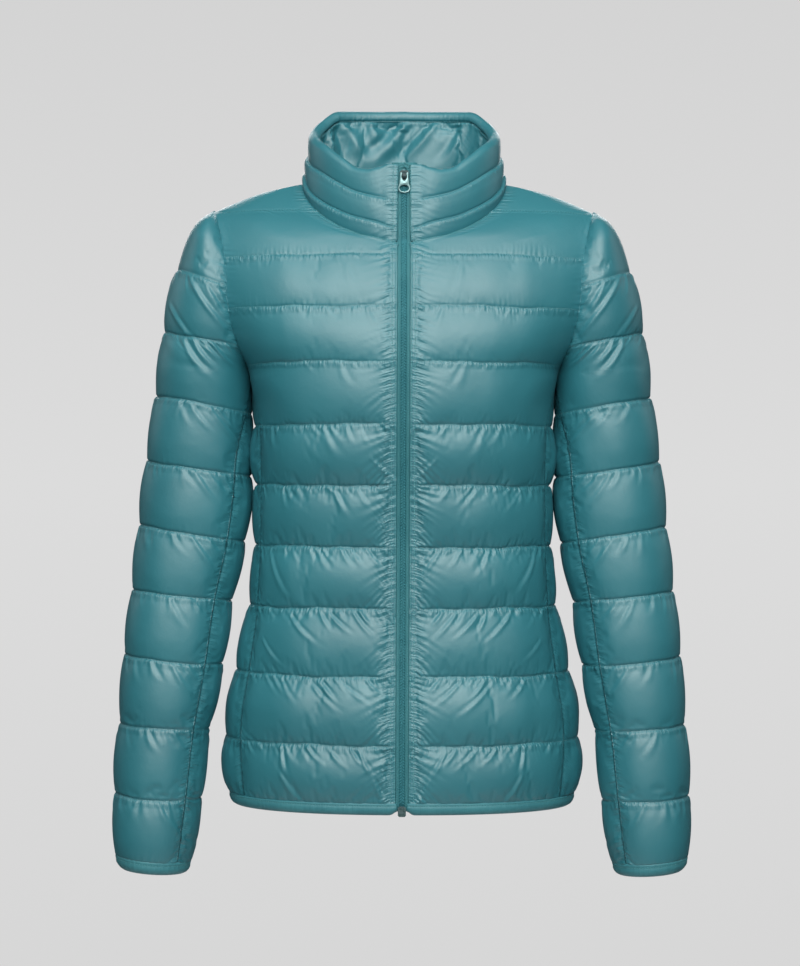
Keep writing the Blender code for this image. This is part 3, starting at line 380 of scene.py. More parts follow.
def section(z, front):
    """The oval of the body's front or back at each height: half width, depth, angle where it ends."""
    z = np.asarray(z, dtype=float)
    edge_x = np.where(z > -SHOULDER_DROP, shoulder_x(z), side_x(z))
    edge_y = np.where(z > -SHOULDER_DROP, 0.0, armhole_depth(z))
    depth = front_depth(z) if front else back_depth(z)
    if front:
        share = neck_share(z)
        neck_x = (NECK_HALF_WIDTH * np.sqrt(1 - share * share)) ** SQUARENESS
        neck_y = (NECK_FRONT_DEPTH * share) ** SQUARENESS
        far_x, far_y = edge_x ** SQUARENESS, edge_y ** SQUARENESS
        crossing = np.minimum(neck_x * far_y - far_x * neck_y, -1e-15)
        through_both = np.maximum((neck_x - far_x) / crossing, 1e-9) ** (-1 / SQUARENESS)
        depth = np.where(z > -NECK_FRONT_DROP, through_both, depth)
    ratio = np.clip((edge_y / depth) ** SQUARENESS, 0.0, 0.999)
    half_width = edge_x / (1 - ratio) ** (1 / SQUARENESS)
    return half_width, depth, np.arccos(np.sqrt(ratio))


def body_points(z, angle, front):
    """Points of the wearer's left half.  The angle runs from the centre line to the side."""
    half_width, depth, _ = section(z, front)
    across = np.maximum(np.sin(angle), 0.0) ** (2 / SQUARENESS)
    along = np.maximum(np.cos(angle), 0.0) ** (2 / SQUARENESS)
    x = half_width * across
    y = (-depth if front else depth) * along
    return np.stack(np.broadcast_arrays(x, y, z), axis=-1)


def angle_at(z, x):
    """The front section's angle at a distance from the centre."""
    return np.arcsin(np.minimum(x / section(z, True)[0], 1.0) ** (SQUARENESS / 2))


def front_angles(z):
    """Where a front panel starts and ends on the section at each height."""
    start_x = np.where(z > -NECK_FRONT_DROP,
                       np.maximum(NECK_HALF_WIDTH * np.sqrt(1 - neck_share(z) ** 2), ZIP_OPENING),
                       ZIP_OPENING)
    end = section(z, True)[2]
    turn = np.radians(side_seam_angle(z)) + SIDE_GAP
    end = np.where(z <= ARMPIT, end - turn, end)
    return angle_at(z, start_x), end


def neck_seam_height(angle):
    return -NECK_FRONT_DROP * np.maximum(np.cos(angle), 0.0) ** NECK_DROP_POWER


def side_room(z):
    """How much of its thickness a wall has where sleeve and body face each other."""
    lines = np.linspace(2.0, 7.0, 60)
    between = np.interp(-np.asarray(z), -sleeve_values[3](lines), sleeve_inner_x(lines)) - side_x(z)
    room = np.clip((between / 2 - CLEARANCE) / (WALL + SLEEVE_SWELL), TIGHT_SHARE, 1.0)
    above = TIGHT_SHARE + 0 * np.asarray(z)
    return np.where(np.asarray(z) > ARMPIT, above, room)


def zip_depth(z, x=0.0):
    """Where the fronts and collar lie, forward of the shoulder seam, close to the centre front."""
    z = np.asarray(z, dtype=float)
    half_width, depth, _ = section(z, True)
    low = -depth * (1 - (x / half_width) ** SQUARENESS) ** (1 / SQUARENESS)
    share = np.minimum((z + NECK_FRONT_DROP) / (collar_top(0.0) + NECK_FRONT_DROP), 1.0)
    collar_y = NECK_FRONT_DEPTH + (COLLAR_TOP_FRONT - NECK_FRONT_DEPTH) * share
    collar_x = NECK_HALF_WIDTH + (COLLAR_TOP_HALF_WIDTH - NECK_HALF_WIDTH) * share
    high = -collar_y * np.sqrt(1 - (x / collar_x) ** 2)
    return np.where(z < -NECK_FRONT_DROP - 1e-6, low, high)


# ------------------------------------------------------------------ grids of points
def bands(seams):
    """The first and last row of each band between stitched lines."""
    return zip(seams, seams[1:])


class Grid:
    """A panel's points: rows from top to bottom, columns from one side edge to the other.

    seams lists the rows that lie on stitched lines, and held the share (0 to 1) by which each point
    is pinned.  room is the share of its thickness that the panel has at each point, slack the share of
    its swell and puckers, uneven a factor of its swell, and loose the share of its growth.
    """

    def __init__(self, name, points, seams, outward_from):
        self.name = name
        self.points = points
        self.seams = seams
        self.rows, self.columns = points.shape[:2]
        self.normals = grid_normals(points, outward_from)
        self.held = np.zeros(points.shape[:2])
        self.held[seams, :] = 1.0
        self.held[:, [0, -1]] = 1.0
        self.held[[0, -1], :] = 1.0
        self.room = np.ones(points.shape[:2])
        self.slack = np.ones(points.shape[:2])
        self.swell = BODY_SWELL
        self.sag = SAG
        self.growth = GROWTH
        self.pressure = 14.0
        self.bending = 1.2
        self.loose = np.ones(points.shape[:2])
        self.uneven = np.ones(points.shape[:2])
        self.hang = HANG
        self.simulated = True
        self.parts = 2           # how many columns of the finished surface go to one of these

    def bulge(self):
        """How far each point is cut to swell outwards."""
        rise = np.zeros(self.points.shape[:2])
        down, across = length_along(self.points, 0), length_along(self.points, 1)
        for top, bottom in bands(self.seams):
            share = (down[top:bottom + 1] - down[top]) / (down[bottom] - down[top])
            rise[top:bottom + 1] = np.sin(np.pi * np.clip(share, 0, 1) ** self.sag) ** 0.8
        free = 1 - self.held
        free[self.seams] = 1.0
        edge = np.where(free > 0, 0.0, 1.0)
        near = np.minimum(distance_to(edge, across, 1), distance_to(edge, down, 0))
        inside = np.sin(np.clip(near / EDGE_RISE, 0, 1) * np.pi / 2) ** 0.8
        return rise * inside * self.slack * self.swell * self.uneven


def grid_normals(points, axis_points):
    """Unit normals of a grid of points, facing away from an axis point given for each."""
    normals = unit(np.cross(np.gradient(points, axis=0), np.gradient(points, axis=1)))
    facing = np.sum(normals * (points - axis_points), axis=2, keepdims=True)
    return normals * np.where(facing < 0, -1.0, 1.0)


def distance_to(marked, lengths, axis):
    """Distance of each point from the nearest marked one in its row or column."""
    marked, lengths = np.moveaxis(marked, axis, 0), np.moveaxis(lengths, axis, 0)
    before = np.where(marked > 0, lengths, -1.0)
    before = np.maximum.accumulate(before, axis=0)
    after = np.where(marked > 0, lengths, 9.0)
    after = np.minimum.accumulate(after[::-1], axis=0)[::-1]
    nearest = np.minimum(np.where(before < 0, 9.0, lengths - before), after - lengths)
    return np.moveaxis(nearest, 0, axis)


def even_shares(curve, count):
    """Parameters that split a finely sampled curve, with parameters 0 to 1, into equal lengths."""
    steps = np.linalg.norm(np.diff(curve, axis=0), axis=1)
    length = np.concatenate([[0.0], np.cumsum(steps)])
    return np.interp(np.linspace(0.0, length[-1], count), length, np.linspace(0.0, 1.0, len(curve)))


def crowded(count):
    """Shares of a band's height for its rows, closer together beside both stitched lines."""
    even = np.arange(count) / count
    return (1 - SEAM_CROWDING) * even + SEAM_CROWDING * (0.5 - 0.5 * np.cos(np.pi * even))


def band_heights(lines, spacing):
    """Row heights through bands that meet on the given lines, and the rows that lie on the lines."""
    heights, seams = [], []
    for top, bottom in zip(lines, lines[1:]):
        seams.append(len(heights))
        count = max(3, round(abs(top - bottom) / spacing))
        heights += list(top + (bottom - top) * crowded(count))
    seams.append(len(heights))
    return np.array(heights + [lines[-1]]), seams


def length_along(points, axis):
    """Distance of each point from its row's or column's first point."""
    steps = np.linalg.norm(np.diff(points, axis=axis), axis=2)
    pad = [(0, 0), (0, 0)]
    pad[axis] = (1, 0)
    return np.pad(np.cumsum(steps, axis=axis), pad)


def wander(grid, rng, size):
    """Lets the stitched lines, and the rows between them, stray a little up and down."""
    along = length_along(grid, 1)
    rows = np.linspace(0.0, 1.0, grid.shape[0])[:, None]
    stray = np.zeros(grid.shape[:2])
    for wavelength, share in ((0.160, 1.0), (0.070, 0.6), (0.031, 0.35)):
        phase = rng.uniform(0, 2 * math.pi, 2)
        turn = rng.uniform(20, 34)
        stray += share * np.sin(2 * math.pi * along / wavelength + phase[0] + turn * rows)
    fade = np.sin(np.pi * np.clip(along / along[:, -1:], 0, 1)) ** 0.5
    foot = 1 - ramp(rows, 0.93, 1.0)
    return stray * fade * foot * size


def front_grid(name, mirror, rng):
    """The wearer's left front, or its mirror image."""
    top = np.linspace(-0.0004, BODY_QUILTS[0], 60)
    start, end = front_angles(top)
    middle = body_points(top, start + (end - start) * 0.5, True)
    shares = even_shares(middle, FRONT_TOP_ROWS + 1)[:-1]
    upper = np.interp(shares, np.linspace(0, 1, 60), top)
    heights, seams = band_heights(BODY_QUILTS, BODY_SPACING)
    heights = np.concatenate([upper, heights])
    seams = [k + FRONT_TOP_ROWS for k in seams]
    columns = round(FRONT_WIDTH / BODY_SPACING)
    points = np.zeros((len(heights), columns, 3))
    for r, z in enumerate(heights):
        first, last = front_angles(z)
        fine = np.linspace(0.0, 1.0, 240)
        curve = body_points(z, first + (last - first) * fine, True)
        length = np.linalg.norm(np.diff(curve, axis=0), axis=1).sum()
        strip = min(ZIP_STRIP / length, 3 / columns) if length > 0 else 3 / columns
        wanted = np.concatenate([np.linspace(0, strip, 3, endpoint=False),
                                 np.linspace(strip, 1.0, columns - 3)])
        shares = np.interp(wanted, np.linspace(0, 1, 240), even_shares(curve, 240))
        points[r] = body_points(z, first + (last - first) * shares, True)
    above = heights > ARMPIT
    points[above, -1, 0] -= SEAM_GAP / 2
    points[heights > -SHOULDER_DROP, -1, 1] -= SEAM_GAP / 2
    points[:, 1:-1, 2] += wander(points, rng, SEAM_WANDER)[:, 1:-1] * ramp(-heights, 0.05, 0.09)[:, None]
    grid = Grid(name, points, seams, body_axis(points))
    near_side = ramp(np.linspace(0, 1, columns), 0.6, 0.95)[None, :]
    grid.room = 1 - (1 - side_room(points[..., 2])) * near_side
    from_edge = length_along(points, 1)
    grid.held[(from_edge < HELD_STRIP) & (heights < -NECK_FRONT_DROP)[:, None]] = 1.0
    grid.held[heights > -0.012] = 1.0
    grid.slack = ramp(-heights, 0.010, 0.045)[:, None] * grid.room
    uneven_swell(grid, rng, UNEVEN_FILLING)
    grid.uneven *= body_swell(points[..., 2]) * (1 - 0.35 * near_side)
    grid.loose = 0.15 + 0.85 * ramp(-points[..., 2], 0.200, 0.300)
    grid.parts = 3
    return mirrored(grid) if mirror else grid


def uneven_swell(grid, rng, amount):
    """Lets the filling lie a little unevenly along each band."""
    across = length_along(grid.points, 1)
    longest = float(across.max()) + 0.1
    for top, bottom in bands(grid.seams):
        rows = slice(top, bottom + 1)
        share = np.linspace(-1, 1, bottom + 1 - top)[:, None]
        lean = rng.uniform(-0.01, 0.01)
        grid.uneven[rows] = 1 + amount * ripple(across[rows] + lean * share, rng, 0.055, longest)


def body_swell(z):
    """The chest's bands lie flatter than those further down."""
    return CHEST_SHARE + (1 - CHEST_SHARE) * ramp(-z, 0.165, 0.260)


def waist_share(z):
    """1 at the height of the waist, where sleeve and body meet, and 0 well above and below it."""
    return ramp(-z, 0.195, 0.215) * (1 - ramp(-z, 0.285, 0.310))


def body_axis(points):
    """Points on the body's middle line, a little below each grid point."""
    axis = np.zeros_like(points)
    axis[..., 2] = np.minimum(points[..., 2] - 0.03, -0.06)
    return axis


def mirrored(grid):
    """The same grid on the wearer's right side, with its columns still starting at the same edge."""
    grid.points = grid.points * MIRROR
    grid.normals = grid.normals * MIRROR
    return grid


def back_grid(rng):
    """The back, from the wearer's right side seam to the left one."""
    lines = (-0.0002,) + BODY_QUILTS
    heights, seams = band_heights(lines, BACK_SPACING)
    top_rows = seams[1]
    top = np.linspace(lines[0], lines[1], 60)
    middle = body_points(top, 0.6 * section(top, False)[2], False)
    upper = np.interp(even_shares(middle, BACK_TOP_ROWS + 1)[:-1], np.linspace(0, 1, 60), top)
    heights = np.concatenate([upper, heights[top_rows:]])
    seams = [k - top_rows + BACK_TOP_ROWS for k in seams[1:]]
    half_columns = round(BACK_HALF_WIDTH / BACK_SPACING)
    points = np.zeros((len(heights), 2 * half_columns + 1, 3))
    fine = np.linspace(0.0, 1.0, 300)
    for r, z in enumerate(heights):
        end = section(z, False)[2]
        turn = math.radians(side_seam_angle(z)) - SIDE_GAP if z <= ARMPIT else 0.0
        angle = fine * (end + turn)
        behind = body_points(z, np.minimum(angle, end), False)
        beside = body_points(z, math.pi / 2 - np.maximum(angle - end, 0.0), True)
        curve = np.where((angle <= end + 1e-9)[:, None], behind, beside)
        shares = np.interp(even_shares(curve, half_columns + 1), fine, np.arange(300.0))
        half = np.stack([np.interp(shares, np.arange(300.0), curve[:, k]) for k in range(3)], axis=1)
        points[r, half_columns:] = half
        points[r, :half_columns + 1] = half[::-1] * MIRROR
    shoulder = heights > -SHOULDER_DROP
    points[shoulder, 0, 1] += SEAM_GAP / 2
    points[shoulder, -1, 1] += SEAM_GAP / 2
    points[:, 1:-1, 2] += wander(points, rng, SEAM_WANDER)[:, 1:-1] * ramp(-heights, 0.03, 0.07)[:, None]
    grid = Grid("back_panel", points, seams, body_axis(points))
    from_middle = np.abs(np.linspace(-1, 1, 2 * half_columns + 1))[None, :]
    grid.room = 1 - (1 - side_room(points[..., 2])) * ramp(from_middle, 0.6, 0.95)
    grid.held[heights > -0.008] = 1.0
    grid.slack = ramp(-heights, 0.006, 0.040)[:, None] * grid.room
    uneven_swell(grid, rng, UNEVEN_FILLING)
    pressed = 0.75 * waist_share(points[..., 2]) + 0.6 * ramp(-points[..., 2], 0.530, 0.545)
    grid.uneven *= body_swell(points[..., 2]) * (1 - (0.45 - pressed) * ramp(from_middle, 0.6, 0.85))
    return grid


def sleeve_inner_x(line):
    """Where a sleeve's inner side lies, drawn in to the body at the armpit."""
    apart = sleeve_values[2](PIT_LINE) - side_x(ARMPIT) - PIT_GAP
    return sleeve_values[2](line) - apart * (1 - ramp(line, PIT_LINE, 3.7)) * (np.asarray(line) >= PIT_LINE)


def armpit_line():
    """The sleeve line whose inner point is the armpit."""
    lines = np.linspace(2.0, 3.0, 4001)
    return float(lines[np.argmax(sleeve_values[3](lines) <= ARMPIT)])


PIT_LINE = armpit_line()
PIT_GAP = 0.0006             # between sleeve and body just below the armpit
CAP_REACH = 0.0010           # how far the top of a sleeve's cap reaches in to the shoulder seam


def sleeve_ring(line):
    """Centre, way to the outer point, half width, half depth and first angle of a sleeve line."""
    outer_x, outer_z, inner_x, inner_z, depth, centre_y = (float(value(line)) for value in sleeve_values)
    inner_x = float(sleeve_inner_x(line))
    first = 0.0
    if inner_z > ARMPIT:
        inner_x, centre_y = float(side_x(inner_z)), 0.0
        depth = max(depth, float(armhole_depth(inner_z)) * 1.03)
        first = math.asin(float(armhole_depth(inner_z)) / depth)
    outer = np.array([outer_x, centre_y, outer_z])
    inner = np.array([inner_x, centre_y, inner_z])
    half_width = np.linalg.norm(outer - inner) / (1 + math.cos(first))
    outward = unit(outer - inner)
    return outer - outward * half_width, outward, half_width, depth, first


def sleeve_points(line, angle):
    """Points of a sleeve line.  Angle 0 is under the arm, a quarter turn is at the front."""
    centre, outward, half_width, depth, _ = sleeve_ring(line)
    angle = np.asarray(angle, dtype=float)[..., None]
    across = -outward * half_width * np.cos(angle)
    return centre + across + np.array([0.0, -depth, 0.0]) * np.sin(angle)


def sleeve_grid(name, mirror, rng):
    """The wearer's left sleeve, or its mirror image, from its seam round the front to its seam."""
    quilted = [float(k) for k in range(1, int(SLEEVE_BINDING_LINE) + 1)]
    lines, seams = [], []
    cap = np.linspace(0.0, 1.0, 80)
    ridge = np.array([sleeve_ring(k)[0] + sleeve_ring(k)[1] * sleeve_ring(k)[2] for k in cap])
    lines += list(np.interp(even_shares(ridge, CAP_ROWS + 1)[:-1], cap, cap))
    lines[0] = 0.004
    for low in quilted[:-1]:
        seams.append(len(lines))
        lines += list(low + crowded(round(SLEEVE_BAND / SLEEVE_SPACING)))
    seams.append(len(lines))
    lines.append(SLEEVE_BINDING_LINE)
    columns = round(SLEEVE_GIRTH / SLEEVE_SPACING)
    points = np.zeros((len(lines), columns, 3))
    axis = np.zeros_like(points)
    fine = np.linspace(0.0, 1.0, 240)
    for r, line in enumerate(lines):
        centre, _, half_width, _, first = sleeve_ring(line)
        start, end = first, 2 * math.pi - first
        if line >= PIT_LINE:
            slit = SEAM_GAP / 2 / half_width
            start = math.radians(float(sleeve_seam_angle(line))) + slit
            end = start + 2 * (math.pi - slit)
        shares = even_shares(sleeve_points(line, start + (end - start) * fine), columns)
        points[r] = sleeve_points(line, start + (end - start) * shares)
        axis[r] = centre
        if line < PIT_LINE:
            points[r, [0, -1], 0] += SEAM_GAP / 2
    points[0, :, 0] -= CAP_REACH
    facing_body = 0.5 - 0.5 * unit(points - axis)[..., 0]
    lines = np.array(lines)
    points[:, 1:-1, 2] += wander(points, rng, SEAM_WANDER)[:, 1:-1] * ramp(lines, 0.6, 1.4)[:, None]
    grid = Grid(name, points, seams, axis)
    tight = 1 - side_room(points[..., 2])
    grid.room = 1 - tight * ramp(facing_body, 0.5, 0.9)
    grid.held[lines < 0.10] = 1.0
    grid.slack = ramp(lines, 0.1, 0.6)[:, None] * grid.room
    grid.swell = SLEEVE_SWELL
    uneven_swell(grid, rng, UNEVEN_FILLING)
    facing_front = -unit(points - axis)[..., 1]
    pressed = 0.5 * waist_share(points[..., 2])
    grid.uneven *= 1 + 0.45 * ramp(facing_front, 0.2, 0.9) + pressed * ramp(facing_body, 0.6, 0.95)
    return mirrored(grid) if mirror else grid


def neck_ring(angle, half_width, front, back):
    """Points of a neck ring seen from above, at angles from the centre front."""
    ahead = angle <= math.pi / 2
    sine, cosine = np.maximum(np.sin(angle), 0.0), np.cos(angle)
    x = np.where(ahead, sine, sine ** (2 / SQUARENESS)) * half_width
    y = np.where(ahead, -front * cosine, back * np.abs(cosine) ** (2 / SQUARENESS))
    return np.stack([x, y], axis=-1)


def collar_points(angle, height):
    """Points of the collar's left half: height is 0 on the neck seam and 1 on the top edge."""
    base, top = neck_seam_height(angle), collar_top(np.degrees(angle))
    low = neck_ring(angle, NECK_HALF_WIDTH, NECK_FRONT_DEPTH, NECK_BACK_DEPTH)
    high = neck_ring(angle, COLLAR_TOP_HALF_WIDTH, COLLAR_TOP_FRONT, COLLAR_TOP_BACK)
    flat = low + (high - low) * height
    return np.stack([flat[..., 0], flat[..., 1], base + (top - base) * height[..., 0]], axis=-1)


COLLAR_START = math.asin(ZIP_OPENING / NECK_HALF_WIDTH)
RIM_DROP = 0.0024            # from the collar's finished top edge down to where its rim is folded
RIM_HALF = 0.0007            # half the width of that fold before it swells
RIM_BAND = 0.0055            # height of the band inside the rim
COLLAR_INSET = 0.0020        # how far the collar's middle lies inside its finished outline
FACING_BUNCHES = (-112.0, -121.0, -127.0, 119.0, 134.0, 141.0)    # degrees where the lining is gathered


def collar_columns(spacing):
    """Angles round the collar's left half, from beside the zip to the centre back, evenly spaced."""
    fine = np.linspace(COLLAR_START, math.pi, 600)
    half_way = collar_points(fine, np.full((600, 1), 0.5))
    length = np.linalg.norm(np.diff(half_way, axis=0), axis=1).sum()
    shares = even_shares(half_way, round(length / spacing) + 1)
    return COLLAR_START + (math.pi - COLLAR_START) * shares


def collar_rows():
    """Columns of the collar's left half, and its rows from the inner band's stitches to the neck seam.

    Each row is (height of the middle surface as an array, distance from it, rise above it).
    """
    angles = collar_columns(COLLAR_SPACING)
    degrees = np.degrees(angles)
    base, top = neck_seam_height(angles), collar_top(degrees)
    tall = top - base
    lower, upper = (collar_lower(degrees) - base) / tall, (collar_upper(degrees) - base) / tall
    rim = 1 - (RIM_DROP + RIM_HALF) / tall
    inside = 1 - (RIM_DROP + RIM_BAND) / tall
    rows, seams = [], []
    for low, high, count in ((np.zeros(len(angles)), lower, 10), (lower, upper, 10)):
        seams.append(len(rows))
        apart = RIM_HALF if seams[1:] else None
        rows += [(low + (high - low) * share, apart or RIM_HALF * min(1.0, 0.15 + 3 * share), 0.0)
                 for share in crowded(count)]
    seams.append(len(rows))
    rows += [(upper + (rim - upper) * share, RIM_HALF, 0.0) for share in np.linspace(0, 1, 10)]
    rows.append((rim, 0.0, RIM_HALF))
    rows += [(rim + (inside - rim) * share, -RIM_HALF, 0.0) for share in (0.0, 0.33, 0.67, 1.0)]
    seams.append(len(rows) - 1)
    return angles, rows, seams


def ring_points(angles, rows):
    """Points of rows round the whole collar, and the points of its middle surface."""
    outward = np.stack([np.sin(angles), -np.cos(angles), 0 * angles], axis=-1)
    inset = COLLAR_INSET * ramp(angles, COLLAR_START + 0.09, 0.7)[:, None]
    middle = np.stack([collar_points(angles, height[:, None]) for height, _, _ in rows])
    middle = middle - outward * inset
    apart = np.array([row[1] for row in rows])[:, None, None]
    rise = np.array([row[2] for row in rows])[:, None, None]
    half = middle + outward[None] * apart + np.array([0.0, 0.0, 1.0]) * rise
    return [np.concatenate([side * MIRROR, side[:, -2::-1]], axis=1) for side in (half, middle)]


def collar_grid():
    """The collar's shell, from the stitches of its inner band over the rim and down to the neck seam.

    Its columns run from the wearer's right front edge round the back to the left.
    """
    angles, rows, seams = collar_rows()
    points, middle = ring_points(angles, rows[::-1])
    points[-1, :, 2] += SEAM_GAP
    seams = [len(rows) - 1 - k for k in seams[::-1]]
    grid = Grid("collar_shell", points, seams, middle)
    grid.simulated = False       # firm and narrow, it keeps the shape it is cut to
    grid.hang = 0.0006
    from_edge = length_along(points, 1)
    grid.held[(from_edge < HELD_STRIP) | (from_edge[:, -1:] - from_edge < HELD_STRIP)] = 1.0
    grid.swell = COLLAR_SWELL
    grid.sag = 0.62
    grid.back_face = middle + (points - middle) * 0.3
    return grid


def facing_grid(rng):
    """The collar's inner side, from the stitches of the collar's inner band down to the neck seam."""
    angles = collar_columns(COLLAR_SPACING * 0.85)
    tall = collar_top(np.degrees(angles)) - neck_seam_height(angles)
    start = 1 - (RIM_DROP + RIM_BAND + 0.0004) / tall
    count = 24
    rows = [(start * (1 - share), -RIM_HALF - 0.0006, 0.0) for share in np.linspace(0, 1, count + 1)]
    points, middle = ring_points(angles, rows)
    grid = Grid("collar_facing_panel", points, [0, count], middle)
    from_edge = length_along(points, 1)
    edge = np.minimum(from_edge, from_edge[:, -1:] - from_edge)
    grid.held[edge < 0.0035] = 1.0
    turn = np.degrees(np.concatenate([angles, angles[-2::-1]]))[None, :]
    turn[:, :len(angles)] = -turn[:, :len(angles)]
    for place in FACING_BUNCHES:
        grid.held = np.maximum(grid.held, 0.4 * np.exp(-((turn - place) / 1.6) ** 2))
    grid.swell = FACING_SWELL
    grid.growth = FACING_GROWTH
    grid.bending = 0.25
    grid.hang = 0.0
    uneven_swell(grid, rng, UNEVEN_LINING)
    grid.back_face = middle + (points - middle) * 0.3
    return grid


# ------------------------------------------------------------------ blowing the panels up
CLOTH_SETTINGS = {
    "quality": 5,
    "mass": 0.3,
    "use_pressure": True,
    "shrink_max": 0.0,
    "tension_stiffness": 15,
    "compression_stiffness": 15,
    "shear_stiffness": 5,
    "tension_damping": 5,
    "compression_damping": 5,
    "shear_damping": 5,
    "bending_damping": 0.5,
}


def cloth_object(grid, start):
    """A panel's start shape with Blender's Cloth on it, held at its pinned points."""
    rows, columns = grid.rows, grid.columns
    index = np.arange(rows * columns).reshape(rows, columns)
    faces = np.stack([index[:-1, :-1], index[1:, :-1], index[1:, 1:], index[:-1, 1:]], axis=-1)
    mesh = bpy.data.meshes.new("blown " + grid.name)
    mesh.from_pydata(start.reshape(-1, 3).tolist(), [], faces.reshape(-1, 4).tolist())
    middle = mesh.polygons[rows // 2 * (columns - 1) + columns // 2]
    wanted = grid.normals[rows // 2, columns // 2]
    if middle.normal.dot(Vector(wanted)) < 0:
        mesh.flip_normals()
    thing = bpy.data.objects.new("blown " + grid.name, mesh)
    bpy.context.scene.collection.objects.link(thing)
    for name, weights in (("held", grid.held), ("still", 1 - grid.slack * grid.loose)):
        group = thing.vertex_groups.new(name=name)
        values = weights.ravel()
        for value in np.unique(np.round(values, 2)):
            if value > 0:
                group.add(np.flatnonzero(np.round(values, 2) == value).tolist(), float(value), "REPLACE")
    cloth = thing.modifiers.new("cloth", "CLOTH")
    settings = cloth.settings
    for name, value in CLOTH_SETTINGS.items():
        setattr(settings, name, value)
    settings.vertex_group_mass = "held"
    settings.uniform_pressure_force = grid.pressure
    settings.vertex_group_shrink = "still"
    settings.shrink_min = -grid.growth
    settings.bending_stiffness = grid.bending
    settings.effector_weights.gravity = 0
    cloth.collision_settings.use_collision = False
    cloth.point_cache.frame_start = 1
    cloth.point_cache.frame_end = CLOTH_FRAMES
    return thing


def blow_up(grids):
    """Each grid's displacement once its cloth has swollen, all of them simulated side by side."""
    moves = {grid.name: grid.normals * grid.bulge()[..., None] for grid in grids}
    soft = [grid for grid in grids if grid.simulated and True]
    starts = [grid.points + grid.normals * (WALL * grid.room)[..., None] for grid in soft]
    things = [cloth_object(grid, start + moves[grid.name]) for grid, start in zip(soft, starts)]
    scene = bpy.context.scene
    for number in range(1, CLOTH_FRAMES + 1 if soft else 1):
        scene.frame_set(number)
    graph = bpy.context.evaluated_depsgraph_get()
    for grid, start, thing in zip(soft, starts, things):
        swollen = thing.evaluated_get(graph).to_mesh()
        places = np.zeros(len(swollen.vertices) * 3)
        swollen.vertices.foreach_get("co", places)
        thing.evaluated_get(graph).to_mesh_clear()
        moves[grid.name] = capped(grid, places.reshape(start.shape) - start)
    for thing in things:
        mesh = thing.data
        bpy.data.objects.remove(thing, do_unlink=True)
        bpy.data.meshes.remove(mesh)
    scene.frame_set(1)
    return [moves[grid.name] for grid in grids]


def capped(grid, move):
    """A displacement whose outward part is eased to a limit, and never goes far inwards."""
    out = np.sum(move * grid.normals, axis=2)
    limit = np.minimum(MOST_SWELL * grid.swell * grid.room, 1.6 * grid.bulge() + 0.0003)
    eased = np.where(out > 0, limit * np.tanh(out / limit), np.maximum(out, -0.0008))
    sideways = move - grid.normals * out[..., None]
    return sideways * grid.room[..., None] + grid.normals * eased[..., None]


# ------------------------------------------------------------------ refining a panel
def split(values, axis, parts):
    """Values at the points of an axis and at even steps between them, on a smooth curve."""
    values = np.moveaxis(values, axis, 0)
    padded = np.concatenate([2 * values[:1] - values[1:2], values, 2 * values[-1:] - values[-2:-1]])
    a, b, c, d = padded[:-3], padded[1:-2], padded[2:-1], padded[3:]
    result = np.zeros((parts * (len(values) - 1) + 1,) + values.shape[1:])
    for k in range(parts):
        t = k / parts
        result[k:-1:parts] = (b + 0.5 * t * (c - a) + t * t * (a - 2.5 * b + 2 * c - 0.5 * d)
                              + t ** 3 * (-0.5 * a + 1.5 * b - 1.5 * c + 0.5 * d))
    result[-1] = values[-1]
    return np.moveaxis(result, 0, axis)


def ripple(at, rng, wavelength, length):
    """An irregular wave at the given places along a line of a given length, -1 to 1."""
    count = int(length / wavelength * 2) + 6
    steps = rng.uniform(0.55, 1.6, count) * wavelength / 2
    places = np.cumsum(steps) - 2 * wavelength
    heights = rng.uniform(0.35, 1.0, count) * np.where(np.arange(count) % 2, 1, -1)
    k = np.clip(np.searchsorted(places, at) - 1, 0, count - 2)
    t = np.clip((at - places[k]) / (places[k + 1] - places[k]), 0, 1)
    t = t * t * (3 - 2 * t)
    return heights[k] * (1 - t) + heights[k + 1] * t


def drift(at, rng, low, high, wavelength, length):
    """A slowly changing value between low and high along a line."""
    count = int(length / wavelength) + 4
    values = rng.uniform(low, high, count)
    return np.interp(at, np.arange(count) * wavelength - wavelength, values)


